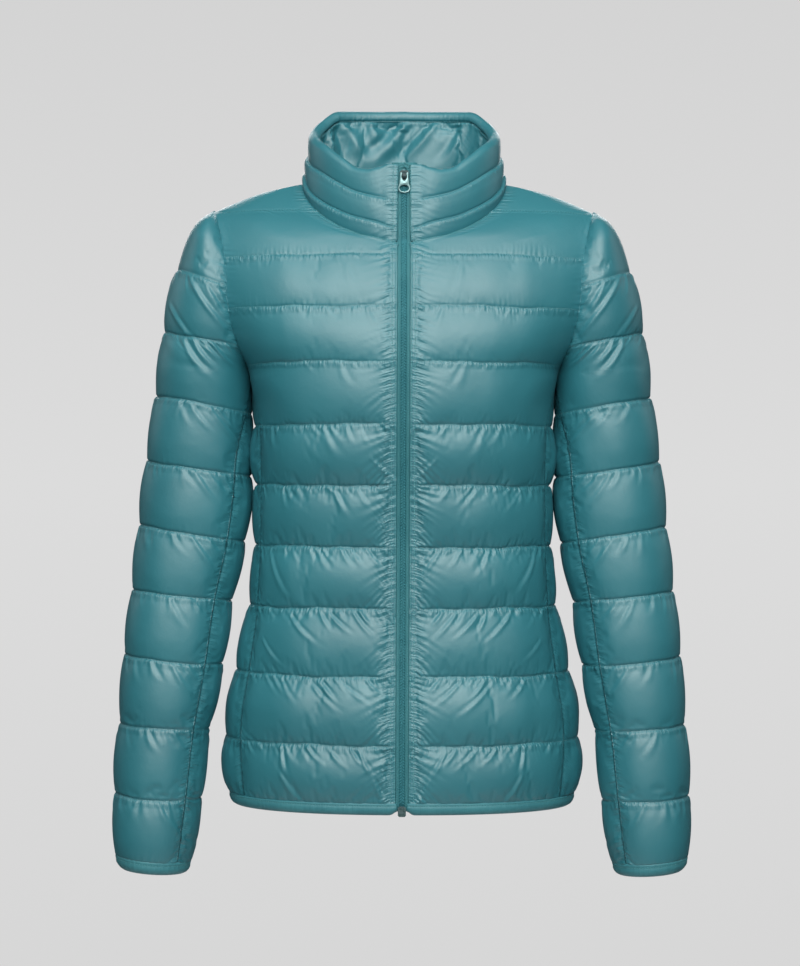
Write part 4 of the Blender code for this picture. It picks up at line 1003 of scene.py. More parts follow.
class Fine:
    """A panel at its final density, with the distances that its puckers are made from."""

    def __init__(self, grid, move):
        def finer(values):
            return split(split(values, 0, 2), 1, grid.parts)

        self.grid = grid
        self.base = finer(grid.points)
        self.normals = unit(finer(grid.normals))
        self.room = np.clip(finer(grid.room), 0.2, 1.0)
        self.slack = np.clip(finer(grid.slack), 0.0, 1.0)
        self.move = finer(move)
        self.seams = [2 * k for k in grid.seams]
        self.across = length_along(self.base, 1)
        self.width = self.across[:, -1:]
        self.place = self.across
        self.from_edge = np.minimum(self.across, self.width - self.across)
        self.down = length_along(self.base, 0)
        self.lift = np.zeros(self.base.shape[:2])

    def surface(self):
        """Points of the outer face."""
        raised = self.normals * ((WALL * self.room + self.lift)[..., None])
        return self.base + raised + self.move + self.droop()

    def shares(self):
        """How far down its band each point lies, 0 at the stitches above it and 1 at those below."""
        share = np.zeros(self.base.shape[:2])
        for top, bottom in bands(self.seams):
            height = self.down[bottom] - self.down[top]
            share[top:bottom] = (self.down[top:bottom] - self.down[top]) / height
        return share

    def droop(self):
        """The lower edge of each band hangs a little over the stitches below it."""
        share = self.shares()
        loose = ramp(share, 0.55, 0.90) * (1 - ramp(share, 0.94, 1.0))
        width = ramp(np.minimum(self.across, self.width - self.across), 0.004, 0.020)
        return np.array([0.0, 0.0, -1.0]) * (self.grid.hang * loose * width * self.slack)[..., None]

    def seam_map(self):
        """For the fringe of small puckers: place along, and distance below the nearest stitches."""
        below = self.shares()
        for top, bottom in bands(self.seams):
            below[top:bottom] *= self.down[bottom] - self.down[top]
        first, last = self.seams[0], self.seams[-1]
        below[:first] = 0.05
        below[last:] = 0.05
        return np.stack([self.across, below], axis=-1)


def pucker_bands(fine, rng, size, reach, wavelength):
    """Short puckers on both sides of each stitched line, crossing it at changing angles."""
    for top, bottom in bands(fine.seams):
        rows = slice(top, bottom + 1)
        along = fine.across[rows]
        height = fine.down[bottom] - fine.down[top]
        below = fine.down[rows] - fine.down[top]
        above = height - below
        longest = float(fine.width.max()) + 0.03
        for distance, share in ((below, 1.0), (above, 0.8)):
            lean = drift(along, rng, -0.35, 0.35, 0.035, longest)
            wave = ripple(along + lean * distance, rng, wavelength, longest)
            wave += 0.5 * ripple(along + lean * distance, rng, wavelength * 0.55, longest)
            far = drift(along, rng, 0.5, 1.4, 0.014, longest) * reach
            strength = drift(along, rng, 0.25, 1.0, 0.022, longest)
            fade = np.exp(-(distance / far) ** 1.5) * ramp(distance, -0.0002, 0.0012)
            fine.lift[rows] += size * share * strength * wave * fade * fine.slack[rows]


def pucker_edge(fine, rng, distance, size, reach, wavelength, where, slant=0.0):
    """Short puckers that run out from a side edge; distance is how far each point is from it."""
    down = fine.down
    longest = float(down.max()) + 0.05
    bend = slant * distance
    wave = ripple(down + bend, rng, wavelength, longest)
    wave += 0.45 * ripple(down + bend, rng, wavelength * 0.5, longest)
    far = drift(down, rng, 0.45, 1.5, 0.012, longest) * reach
    strength = drift(down, rng, 0.4, 1.0, 0.02, longest)
    fade = np.exp(-(np.maximum(distance, 0) / far) ** 1.4) * ramp(distance, -0.0002, 0.0010)
    fine.lift += size * strength * wave * fade * where


def crease(fine, rows, place, start, length, lean, half, depth):
    """One tapering ridge with a trough beside it, down a band.

    place is its distance from where the panel's places start, start its distance below the band's upper
    stitches, and lean how far it moves along the band for each metre down.
    """
    below = fine.down[rows] - fine.down[rows.start] - start
    share = below / length
    offset = fine.place[rows] - place - lean * below * (1 + 0.25 * share)
    spread = CREASE_WIDTH * half * (0.6 + 0.8 * np.clip(share, 0, 1))
    taper = ramp(share, -0.05, 0.14) * (1 - ramp(share, 0.40, 1.0))
    profile = np.exp(-(offset / spread) ** 2) - 0.75 * np.exp(-((offset + 1.9 * spread) / spread) ** 2)
    fine.lift[rows] += depth * taper * profile * np.minimum(fine.slack[rows] + 0.3, 1.0)


def long_creases(fine, rng, top, bottom, count, lean, depth, reach):
    """Creases that hang from a stitched line at uneven distances and fade out across the band."""
    rows = slice(top, bottom + 1)
    width = float(fine.width[top:bottom].mean())
    for place in (np.arange(count) + rng.uniform(0.15, 0.85, count)) / count:
        crease(fine, rows, place * width, 0.0, reach * rng.uniform(0.5, 1.35), lean * rng.uniform(0.5, 1.5),
               rng.uniform(0.0012, 0.0021), depth * rng.uniform(0.4, 1.1))


def placed_creases(fine, rng, table):
    """The main creases, each with its own sizes, a little different on each side of the jacket."""
    for band, place, start, length, lean, half, depth in table:
        rows = slice(fine.seams[band], fine.seams[band + 1] + 1)
        vary = rng.uniform(0.85, 1.15, 3)
        crease(fine, rows, place + rng.uniform(-0.003, 0.003), start, length * vary[0], lean * vary[1], half,
               depth * vary[2])


def seam_grooves(fine, depth, half_width):
    """Draws the stitched lines in sharply."""
    for k in fine.seams[:-1]:
        distance = np.abs(fine.down - fine.down[k])
        fine.lift -= depth * np.exp(-(distance / half_width) ** 2) * fine.slack


# ------------------------------------------------------------------ meshes
def new_object(name, vertices, faces, material, body="jacket", maps=None):
    """A mesh object that rides on a body.  maps holds a point of the plane for each vertex."""
    mesh = bpy.data.meshes.new(name)
    mesh.from_pydata(vertices, [], faces)
    mesh.validate()
    loops = np.zeros(len(mesh.loops), dtype=np.int32)
    mesh.loops.foreach_get("vertex_index", loops)
    for label, places in (maps or {}).items():
        layer = mesh.uv_layers.new(name=label)
        layer.data.foreach_set("uv", np.asarray(places, dtype=np.float32)[loops].ravel())
    mesh.shade_smooth()
    mesh.materials.append(material)
    thing = bpy.data.objects.new(name, mesh)
    bpy.context.scene.collection.objects.link(thing)
    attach(thing, body)
    return thing


def quads(index, turn):
    """Four-cornered faces over a grid of vertex numbers."""
    corners = [index[:-1, :-1], index[1:, :-1], index[1:, 1:], index[:-1, 1:]]
    corners = corners[::-1] if turn else corners
    return np.stack(corners, axis=-1).reshape(-1, 4).tolist()


def wall_faces(outer_shape, inner_shape, flip):
    """Faces of a closed wall whose outer grid is a whole number of times as fine as its inner one."""
    outer = np.arange(outer_shape[0] * outer_shape[1]).reshape(outer_shape)
    inner = outer.size + np.arange(inner_shape[0] * inner_shape[1]).reshape(inner_shape)
    faces = quads(outer, flip) + quads(inner, not flip)
    edges = ((outer[0], inner[0], not flip), (outer[-1], inner[-1], flip),
             (outer[:, 0], inner[:, 0], flip), (outer[:, -1], inner[:, -1], not flip))
    for fine_edge, coarse, turn in edges:
        parts = (len(fine_edge) - 1) // (len(coarse) - 1)
        for k in range(len(coarse) - 1):
            a, b = int(coarse[k]), int(coarse[k + 1])
            near = [int(n) for n in fine_edge[parts * k:parts * k + parts + 1]]
            middle = parts // 2
            fan = [(a, near[j], near[j + 1]) for j in range(middle)]
            fan.append((a, near[middle], b))
            fan += [(b, near[j], near[j + 1]) for j in range(middle, parts)]
            faces += [face[::-1] for face in fan] if turn else fan
    return faces


def closed_panel(name, fine, inner, material):
    """A panel's outer and inner faces, joined round their edges."""
    outer = fine.surface()
    middle = (outer.shape[0] // 2, outer.shape[1] // 2)
    down = outer[middle[0] + 1, middle[1]] - outer[middle]
    across = outer[middle[0], middle[1] + 1] - outer[middle]
    flip = np.dot(np.cross(down, across), fine.normals[middle]) < 0
    faces = wall_faces(outer.shape[:2], inner.shape[:2], flip)
    vertices = np.concatenate([outer.reshape(-1, 3), inner.reshape(-1, 3)])
    step = (slice(None, None, 2), slice(None, None, fine.grid.parts))
    maps = {}
    layers = {"quilt": np.stack([fine.across, fine.down], axis=-1),
              "seam": fine.seam_map(),
              "edge": np.stack([fine.from_edge, fine.down], axis=-1)}
    for label, layer in layers.items():
        maps[label] = np.concatenate([layer.reshape(-1, 2), layer[step].reshape(-1, 2)])
    return new_object(name, vertices.tolist(), faces, material, maps=maps)


def lining(grid, rng, puff, wavelength=0.007):
    """The panel's inner face: a thin lining that swells a little inwards between the stitched lines."""
    down, across = length_along(grid.points, 0), length_along(grid.points, 1)
    rise = np.zeros(grid.points.shape[:2])
    for top, bottom in bands(grid.seams):
        height = down[bottom] - down[top]
        share = np.clip((down[top:bottom + 1] - down[top]) / height, 0, 1)
        rise[top:bottom + 1] = np.sin(np.pi * share) ** 0.7
        distance = np.minimum(share, 1 - share) * height
        wave = ripple(across[top:bottom + 1], rng, wavelength, float(across.max()) + 0.05)
        rise[top:bottom + 1] += 0.35 * wave * np.exp(-distance / 0.008) * ramp(distance, 0, 0.002)
    inside = ramp(across, 0.0, 0.010) * ramp(across[:, -1:] - across, 0.0, 0.010)
    return grid.points - grid.normals * (puff * rise * inside * grid.slack)[..., None]


# ------------------------------------------------------------------ stitches
STITCH_PITCH = 0.0026
STITCH_HALF = (0.00105, 0.00026, 0.00030)     # half length, half width, height
SEAM_THREAD = []             # places, directions and normals of the stitches made so far


def sew(points, normals, pitch=STITCH_PITCH, turn=0.0, lift=0.0, size=1.0):
    """Adds a row of stitches along a line of points; turn sets each one askew, in radians."""
    points, normals = np.asarray(points, dtype=float), unit(normals)
    steps = np.linalg.norm(np.diff(points, axis=0), axis=1)
    length = np.concatenate([[0.0], np.cumsum(steps)])
    count = int((length[-1] - 0.0012) / pitch)
    if count < 1:
        return
    centres = (np.arange(count) + 0.5) * length[-1] / count

    def at(values, distance):
        return np.stack([np.interp(distance, length, values[:, k]) for k in range(3)], axis=1)

    ahead = unit(at(points, centres + 0.0006) - at(points, centres - 0.0006))
    up = unit(at(normals, centres))
    side = np.cross(up, ahead)
    ahead = ahead * math.cos(turn) + side * math.sin(turn)
    SEAM_THREAD.append((at(points, centres) + up * lift, ahead, up, np.full((count, 1), size)))


def stitch_faces(count):
    """Eight faces for each of a number of six-cornered stitches."""
    single = np.array([(0, 2, 4), (2, 1, 4), (1, 3, 4), (3, 0, 4),
                       (2, 0, 5), (1, 2, 5), (3, 1, 5), (0, 3, 5)])
    return (single[None] + 6 * np.arange(count)[:, None, None]).reshape(-1, 3)


def make_stitches(name, material):
    """All the rows of stitches added by sew() since the last call, as one piece."""
    centres, ahead, up, size = (np.concatenate(parts) for parts in zip(*SEAM_THREAD))
    SEAM_THREAD.clear()
    side = np.cross(up, ahead)
    half, wide, high = (part * size for part in STITCH_HALF)
    corners = np.stack([centres - ahead * half, centres + ahead * half, centres - side * wide,
                        centres + side * wide, centres + up * high, centres - up * high], axis=1)
    return new_object(name, corners.reshape(-1, 3).tolist(), stitch_faces(len(centres)).tolist(), material)


def seam_line(fine, row):
    """The stitched line along a row of a panel."""
    surface = fine.surface()
    return surface[row], fine.normals[row]


def column_line(fine, place, first, last):
    """The line down a panel at a distance from its first side edge, between two rows."""
    surface = fine.surface()
    points, normals = [], []
    for row in range(first, last):
        index = float(np.interp(place, fine.across[row], np.arange(surface.shape[1])))
        low = min(int(index), surface.shape[1] - 2)
        part = index - low
        points.append(surface[row, low] * (1 - part) + surface[row, low + 1] * part)
        normals.append(fine.normals[row, low])
    return np.array(points), np.array(normals)


# ------------------------------------------------------------------ bands and the zip
BINDING_SECTION = (
    # share of the height down, distance out from the panel's inner face
    (-0.06, 0.0014),
    (0.02, 0.0029),
    (0.10, 0.0031),
    (0.17, 0.0028),
    (0.24, 0.0032),
    (0.45, 0.0038),
    (0.70, 0.0036),
    (0.90, 0.0027),
    (1.00, 0.0012),
    (0.95, -0.0002),
    (0.70, -0.0010),
    (0.35, -0.0011),
    (0.02, -0.0008),
)
BINDING_STITCHES = 3         # the corner of the section that its stitches lie on


def swept(rings, closed):
    """Vertices and faces of a band from its cross-sections, capped at its ends unless closed."""
    count, around = rings.shape[:2]
    index = np.arange(count * around).reshape(count, around)
    index = np.concatenate([index, index[:, :1]], axis=1)
    if closed:
        index = np.concatenate([index, index[:1]], axis=0)
    faces = quads(index, False)
    if not closed:
        faces.append([int(k) for k in index[0, :-1]])
        faces.append([int(k) for k in index[-1, :-1][::-1]])
    return rings.reshape(-1, 3).tolist(), faces


def outward_faces(vertices, faces):
    """The same faces, turned so that they look out of the solid they close."""
    places = np.array(vertices)
    volume = 0.0
    for face in faces:
        for k in range(1, len(face) - 1):
            a, b, c = places[face[0]], places[face[k]], places[face[k + 1]]
            volume += float(np.dot(a, np.cross(b, c)))
    return faces if volume > 0 else [face[::-1] for face in faces]


def gathers(length_so_far, rng, size, wavelength=0.0045):
    """How far an elastic band's surface rises and falls along its length."""
    longest = float(length_so_far[-1]) + 0.05
    return size * ripple(length_so_far, rng, wavelength, longest)


def hem_ring(angles, share, out):
    """Points of the wearer's left half of the hem, at a share of the binding's height and a distance out."""
    z = BINDING_TOP - BINDING_HEIGHT * share
    ahead = angles <= math.pi / 2
    line = np.where(ahead[:, None], body_points(z, np.minimum(angles, math.pi / 2), True),
                    body_points(z, math.pi - np.maximum(angles, math.pi / 2), False))
    along = np.gradient(line, axis=0)
    away = unit(np.stack([-along[:, 1], along[:, 0], 0 * along[:, 0]], axis=1))
    away *= np.where(np.sum(away * line, axis=1, keepdims=True) < 0, -1.0, 1.0)
    away[-1] = (0.0, 1.0, 0.0)
    points = line + away * out
    corner = np.exp(-((line[:, 0] - HEM_START) / 0.0035) ** 2) * ahead
    points[:, 2] += HEM_CORNER_RISE * corner * ramp(share, 0.0, 1.0)
    return points, away


BINDING_ROUND = 0.03         # length of the map's way round a binding's section
BINDING_GATHER = 0.00022     # how far the gathered elastic rises and falls


def binding_piece(name, rings, run, closed, material):
    """A binding's mesh, from its cross-sections and how far along it each of them lies."""
    vertices, faces = swept(rings, closed)
    shape = rings.shape[:2]
    along = np.broadcast_to(run, shape).reshape(-1, 1)
    around = np.broadcast_to(np.linspace(0, BINDING_ROUND, shape[1])[None, :], shape).reshape(-1, 1)
    return new_object(name, vertices, outward_faces(vertices, faces), material,
                      maps={"quilt": np.concatenate([along, around], axis=1)})


def make_hem(rng, material):
    """The elastic binding round the hem, from one side of the zip to the other."""
    fine = np.linspace(angle_at(BINDING_TOP, HEM_START), math.pi, 900)
    curve, _ = hem_ring(fine, 0.5, 0.0)
    length = np.linalg.norm(np.diff(curve, axis=0), axis=1).sum()
    angles = fine[0] + (math.pi - fine[0]) * even_shares(curve, round(length / 0.0014))
    whole, aways = [], []
    for share, out in BINDING_SECTION:
        half, away = hem_ring(angles, share, out)
        whole.append(np.concatenate([half * MIRROR, half[-2::-1]]))
        aways.append(np.concatenate([away * MIRROR, away[-2::-1]]))
    rings, out = np.stack(whole, axis=1), np.stack(aways, axis=1)
    run = length_along(rings, 0)[:, :1]
    loose = np.array([1.0 if 0.2 < share < 0.95 and far > 0 else 0.25 for share, far in BINDING_SECTION])
    wave = gathers(run[:, 0], rng, BINDING_GATHER)[:, None] * loose[None, :]
    rings = rings + out * wave[..., None]
    piece = binding_piece("hem_band", rings, run, False, material)
    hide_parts("hem_binding")
    sew(rings[:, BINDING_STITCHES], out[:, BINDING_STITCHES], lift=0.0001)


def make_cuff(side, rng, material):
    """The elastic binding round a sleeve's end."""
    count = 170
    angles = np.linspace(0.0, 2 * math.pi, count, endpoint=False)
    height = SLEEVE_EDGE_LINE - SLEEVE_BINDING_LINE
    mirror = np.array([-1.0 if side == "right" else 1.0, 1.0, 1.0])
    rings, aways = [], []
    for share, far in BINDING_SECTION:
        line = SLEEVE_BINDING_LINE + height * share
        points = sleeve_points(line, angles)
        away = unit(points - sleeve_ring(line)[0])
        rings.append((points + away * far) * mirror)
        aways.append(away * mirror)
    rings, aways = np.stack(rings, axis=1), np.stack(aways, axis=1)
    run = length_along(rings, 0)[:, :1]
    fade = ramp(run, 0.0, 0.006) * ramp(run[-1] - run, 0.0, 0.006)
    rings = rings + aways * (gathers(run[:, 0], rng, BINDING_GATHER)[:, None] * fade)[..., None]
    piece = binding_piece("cuff_band_" + side, rings, run, True, material)
    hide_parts("cuff_binding_" + side)
    closed = np.concatenate([rings[:, BINDING_STITCHES], rings[:1, BINDING_STITCHES]])
    sew(closed, np.concatenate([aways[:, BINDING_STITCHES], aways[:1, BINDING_STITCHES]]), lift=0.0001)


def zip_places(x, z, depth):
    """Points near the zip: depth is the distance behind the fronts' inner faces."""
    x, z, depth = np.broadcast_arrays(np.asarray(x, dtype=float), z, depth)
    return np.stack([x, zip_depth(z, np.abs(x)) + depth, z], axis=-1)


TAPE_TOP = 0.0138
TAPE_FOOT = -0.5925
TAPE_COLUMNS = (
    # distance from the centre, rise of the woven edge above the tape
    (0.0024, 0.0000),
    (0.0033, 0.0004),
    (0.0037, 0.0003),
    (0.0041, 0.0000),
    (0.0047, 0.0000),
    (0.0051, 0.0002),
    (0.0056, 0.0000),
    (0.0075, 0.0000),
    (0.0120, 0.0000),
)


def make_tape(side, rng, material):
    """One of the zip's tapes, whose top end is turned under and sewn down in a small lump."""
    heights = np.concatenate([np.arange(TAPE_TOP, 0.002, -0.0006), np.arange(0.002, TAPE_FOOT, -0.0030),
                              [TAPE_FOOT]])
    z = heights[:, None]
    x = np.array([row[0] for row in TAPE_COLUMNS])[None, :]
    rise = np.array([row[1] for row in TAPE_COLUMNS])[None, :]
    end = ramp(z, 0.0055, 0.0100)
    x = x - end * 0.0027 * np.exp(-(x - 0.0024) / 0.0022)
    lump = ripple(z * 1.0 + 0.3 * x, rng, 0.0034, 0.03) + 0.6 * ripple(x + 0.5 * z, rng, 0.0026, 0.03)
    forward = rise + end * (0.0011 + 0.0005 * lump) * ramp(0.0095 - x, 0.0, 0.0040)
    front = zip_places(x, z, TAPE_MIDDLE - TAPE_THICKNESS / 2 - forward)
    back = zip_places(x, z, TAPE_MIDDLE + TAPE_THICKNESS / 2)
    mirror = np.array([-1.0 if side == "right" else 1.0, 1.0, 1.0])
    rings = np.concatenate([front, back[:, ::-1]], axis=1) * mirror
    vertices, faces = swept(rings, False)
    piece = new_object("zip_tape_" + side + "_woven", vertices, outward_faces(vertices, faces), material)
    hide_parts("zip_tape_" + side)
    out = np.array([0.0, -1.0, 0.1])
    edge = front[:, 4] * mirror
    keep = heights < 0.002
    sew(edge[keep], np.broadcast_to(out, edge[keep].shape), pitch=0.0021, turn=0.35)
    for column, turn in ((3, 0.5), (5, -0.4), (7, 0.6)):
        tack = front[(heights > 0.0058) & (heights < 0.0128), column] * mirror
        sew(tack, np.broadcast_to(out, tack.shape), pitch=0.0017, turn=turn, lift=0.0001)


COIL_PITCH = 0.0026
COIL_TOP = 0.0015
COIL_FOOT = -0.5882
COIL_SECTION = ((0.00, 1.0), (0.72, 0.0), (0.0, -1.0), (-0.72, 0.0))    # across the ridge, out of the tape


def make_coil(material):
    """The zip's meshed coil under its knitted cover: two rows of slanted ridges on a flat core."""
    heights = np.linspace(COIL_TOP, COIL_FOOT, 100)[:, None]
    x = np.array([[-CHAIN_HALF_WIDTH, -0.0006, 0.0, 0.0006, CHAIN_HALF_WIDTH]])
    dip = np.array([[0.0002, 0.0001, 0.0004, 0.0001, 0.0002]])
    face = zip_places(x, heights, TAPE_MIDDLE - CHAIN_THICKNESS / 2 + 0.00080 + dip)
    back = zip_places(x, heights, TAPE_MIDDLE + CHAIN_THICKNESS / 2)
    vertices, faces = swept(np.concatenate([face, back[:, ::-1]], axis=1), False)
    faces = outward_faces(vertices, faces)
    steps = int((COIL_TOP - COIL_FOOT) / COIL_PITCH)
    turns = np.arange(4)
    for number in range(2 * steps):
        side = 1 if number % 2 else -1
        z = COIL_TOP - 0.0008 - (number // 2) * COIL_PITCH - (0.5 * COIL_PITCH if side > 0 else 0.0)
        if z < COIL_FOOT + 0.0008:
            continue
        rings = []
        for away, drop, width, height in ((0.00012, 0.00080, 0.4, 0.6), (0.0014, 0.0, 1.0, 1.0),
                                          (0.00285, -0.00080, 0.5, 0.6)):
            centre = zip_places(side * away, z + drop, TAPE_MIDDLE - CHAIN_THICKNESS / 2 + 0.00060)
            for across, out in COIL_SECTION:
                rings.append(centre + np.array([0.0, -0.00100 * out * height, 0.00100 * across * width]))
        first = len(vertices)
        vertices += [tuple(point) for point in rings]
        ridge = [[first + 4 * k + int(t), first + 4 * k + int((t + 1) % 4),
                  first + 4 * k + 4 + int((t + 1) % 4), first + 4 * k + 4 + int(t)]
                 for k in range(2) for t in turns]
        ridge += [[first + 3, first + 2, first + 1, first], [first + 8, first + 9, first + 10, first + 11]]
        faces += [face if side < 0 else face[::-1] for face in ridge]
    piece = new_object("zip_coil", vertices, faces, material)
    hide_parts("zip_chain")


PULL_PIVOT = (0.0, -0.0798741, 0.0021031)
PULL_THICKNESS = 0.0012
PULL_CHAMFER = 0.00035
PULL_OUTLINE = (
    # inner x, inner height, outer x, outer height: the right half, from the prong's tip to the ring's foot
    (0.0024, 0.0016, 0.0033, 0.0019),
    (0.0018, 0.0008, 0.0038, 0.0012),
    (0.0018, -0.0008, 0.0039, -0.0008),
    (0.0024, -0.0016, 0.0040, -0.0018),
    (0.0022, -0.0032, 0.0040, -0.0036),
    (0.0013, -0.0052, 0.0042, -0.0056),
    (0.0000, -0.0067, 0.0044, -0.0076),
    (0.0000, -0.0099, 0.0047, -0.0091),
    (0.0019, -0.0102, 0.0051, -0.0104),
    (0.0036, -0.0112, 0.0055, -0.0116),
    (0.0045, -0.0127, 0.0057, -0.0129),
    (0.0043, -0.0141, 0.0055, -0.0144),
    (0.0034, -0.0152, 0.0049, -0.0158),
    (0.0021, -0.0159, 0.0036, -0.0169),
    (0.0000, -0.0162, 0.0000, -0.0176),
)


def make_pull(material):
    """The pull tab: two thin prongs that straddle the bail, over an oval ring, with softened edges."""
    vertices, faces, places = [], [], {}

    def corner(side, point, depth):
        place = (round(side * point[0], 7) + 0.0, round(PULL_PIVOT[1] + depth, 7),
                 round(PULL_PIVOT[2] + point[1], 7))
        if place not in places:
            places[place] = len(vertices)
            vertices.append(place)
        return places[place]

    for side in (1, -1):
        loops = []
        for inner_x, inner_z, outer_x, outer_z in PULL_OUTLINE:
            inner, outer = np.array([inner_x, inner_z]), np.array([outer_x, outer_z])
            cut = unit(outer - inner) * PULL_CHAMFER
            near = inner if inner_x == 0 and outer_x > 0 else inner + cut
            half = PULL_THICKNESS / 2
            section_corners = ((inner, 0.0), (near, -half), (outer - cut, -half),
                               (outer, 0.0), (outer - cut, half), (near, half))
            loops.append([corner(side, point, depth) for point, depth in section_corners])
        for k, (loop, following) in enumerate(zip(loops, loops[1:])):
            solid = PULL_OUTLINE[k][0] == 0 and PULL_OUTLINE[k + 1][0] == 0
            for j in range(6):
                if solid and j in (0, 5):
                    continue
                face = [loop[j], loop[(j + 1) % 6], following[(j + 1) % 6], following[j]]
                faces.append(face if side > 0 else face[::-1])
        faces.append(loops[0][::-1] if side > 0 else loops[0])
    piece = new_object("pull", vertices, outward_faces(vertices, faces), material, body="pull_tab")
    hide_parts("zip_pull")


# ------------------------------------------------------------------ materials
class Nodes:
    """A short way to build one material's nodes."""

    def __init__(self, name):
        self.material = bpy.data.materials.new(name)
        self.material.use_nodes = True
        self.tree = self.material.node_tree
        self.shader = self.tree.nodes["Principled BSDF"]

    def add(self, kind, sources=None, values=None, **settings):
        """A node with its settings, what its inputs are linked to, and its inputs' constants."""
        node = self.tree.nodes.new(kind)
        for key, value in settings.items():
            setattr(node, key, value)
        for key, source in (sources or {}).items():
            self.link(source, node.inputs[key])
        for key, value in (values or {}).items():
            node.inputs[key].default_value = value
        return node

    def link(self, source, target):
        self.tree.links.new(source, target)

    def place(self, use_uv=False):
        """Where a point lies, on its piece or on the cloth it is cut from."""
        coordinates = self.add("ShaderNodeTexCoord")
        if not use_uv:
            return coordinates.outputs["Object"]
        layer = self.add("ShaderNodeUVMap", uv_map="quilt")
        return layer.outputs["UV"]

    def stretched(self, source, scale):
        return self.add("ShaderNodeMapping", {"Vector": source}, {"Scale": scale}).outputs["Vector"]

    def noise(self, source, scale, detail=2.0, roughness=0.5):
        """An irregular value, 0 to 1."""
        values = {"Scale": scale, "Detail": detail, "Roughness": roughness}
        return self.add("ShaderNodeTexNoise", {"Vector": source}, values).outputs["Fac"]

    def wave(self, source, scale, direction, distortion=0.0):
        """Even stripes across a direction."""
        values = {"Scale": scale, "Distortion": distortion}
        node = self.add("ShaderNodeTexWave", {"Vector": source}, values, bands_direction=direction)
        return node.outputs["Fac"]

    def between(self, factor, low, high):
        """A value that runs from low to high as the factor runs from 0 to 1."""
        values = {"To Min": low, "To Max": high}
        return self.add("ShaderNodeMapRange", {"Value": factor}, values).outputs["Result"]

    def colours(self, factor, stops):
        """A colour that runs through stops of (position, colour)."""
        node = self.add("ShaderNodeValToRGB", {"Fac": factor})
        elements = node.color_ramp.elements
        while len(elements) < len(stops):
            elements.new(0.5)
        for element, (position, colour) in zip(elements, stops):
            element.position = position
            element.color = (*colour, 1.0)
        return node.outputs["Color"]

    def bump(self, height, strength, distance, below=None):
        """A normal raised by a height, on top of the normal below it."""
        sources = {"Height": height}
        if below is not None:
            sources["Normal"] = below
        values = {"Strength": strength, "Distance": distance}
        return self.add("ShaderNodeBump", sources, values).outputs["Normal"]

    def math(self, operation, first, second):
        return self.add("ShaderNodeMath", {0: first, 1: second}, operation=operation).outputs["Value"]

    def finish(self, colour, roughness, normal, **constants):
        """The material, with its shader's links and constants in place."""
        self.link(colour, self.shader.inputs["Base Color"])
        self.link(roughness, self.shader.inputs["Roughness"])
        self.link(normal, self.shader.inputs["Normal"])
        for name, value in constants.items():
            self.shader.inputs[name.replace("_", " ")].default_value = value
        return self.material


def fringe(nodes, layer, distance, stretch, reach, scale):
    """Height of the fine puckers that run out from a stitched line or edge, which a UV layer measures."""
    place = nodes.add("ShaderNodeUVMap", uv_map=layer).outputs["UV"]
    parts = nodes.add("ShaderNodeSeparateXYZ", {"Vector": place})
    fade = nodes.add("ShaderNodeMapRange", {"Value": parts.outputs[distance]},
                     {"From Min": reach, "From Max": 0.0010}, interpolation_type="SMOOTHSTEP")
    folds = nodes.noise(nodes.stretched(place, stretch), scale, 2.0, 0.6)
    return nodes.math("MULTIPLY", folds, fade.outputs["Result"])


def shell_material():
    """Thin calendered nylon with a soft gloss: a fine weave under small soft crinkles."""
    nodes = Nodes("teal nylon")
    place = nodes.place()
    cloth = nodes.place(use_uv=True)
    tone = nodes.noise(place, 9.0, 2.0)
    colour = nodes.colours(tone, ((0.30, SHELL_DEEP), (0.70, SHELL_PALE)))
    roughness = nodes.between(nodes.noise(place, 60.0, 3.0), 0.47, 0.55)
    weft = nodes.wave(cloth, 420.0, "X")
    warp = nodes.wave(cloth, 420.0, "Y")
    weave = nodes.bump(nodes.math("ADD", weft, warp), 0.10, 0.00004)
    fine = nodes.bump(nodes.noise(place, 420.0, 2.0), 0.20, 0.00025, weave)
    soft = nodes.bump(nodes.noise(place, 110.0, 2.0), 0.22, 0.0009, fine)
    hanging = nodes.bump(fringe(nodes, "seam", "Y", (1.0, 0.22, 1.0), 0.0085, 330.0), 1.0, 0.0016, soft)
    drawn = nodes.bump(fringe(nodes, "edge", "X", (0.16, 1.0, 1.0), 0.0125, 250.0), 1.0, 0.0021, hanging)
    return nodes.finish(colour, roughness, drawn, Specular_IOR_Level=1.0)


def coloured(name, deep, pale, scale, rough_scale, low, high, detail=2.0, spread=0.4):
    """Nodes, place, colour and roughness of a simple material, both of them slightly uneven."""
    nodes = Nodes(name)
    place = nodes.place()
    stops = ((0.5 - spread / 2, deep), (0.5 + spread / 2, pale))
    colour = nodes.colours(nodes.noise(place, scale, detail), stops)
    return nodes, place, colour, nodes.between(nodes.noise(place, rough_scale, detail), low, high)


def binding_material():
    """Narrow elastic binding: fine ribs across it, satin."""
    nodes, _, colour, roughness = coloured("teal elastic", BINDING_DEEP, BINDING_PALE, 30.0, 90.0, 0.48, 0.60)
    ribs = nodes.bump(nodes.wave(nodes.place(use_uv=True), 190.0, "X", 0.4), 0.35, 0.00012)
    return nodes.finish(colour, roughness, ribs, Specular_IOR_Level=0.45)


def tape_material(name, deep, pale):
    """Woven polyester tape: a twill of fine slanted lines."""
    nodes, place, colour, roughness = coloured(name, deep, pale, 45.0, 120.0, 0.62, 0.75)
    twill = nodes.wave(nodes.stretched(place, (1.0, 1.0, 0.7)), 260.0, "DIAGONAL")
    return nodes.finish(colour, roughness, nodes.bump(twill, 0.4, 0.0001), Specular_IOR_Level=0.3)


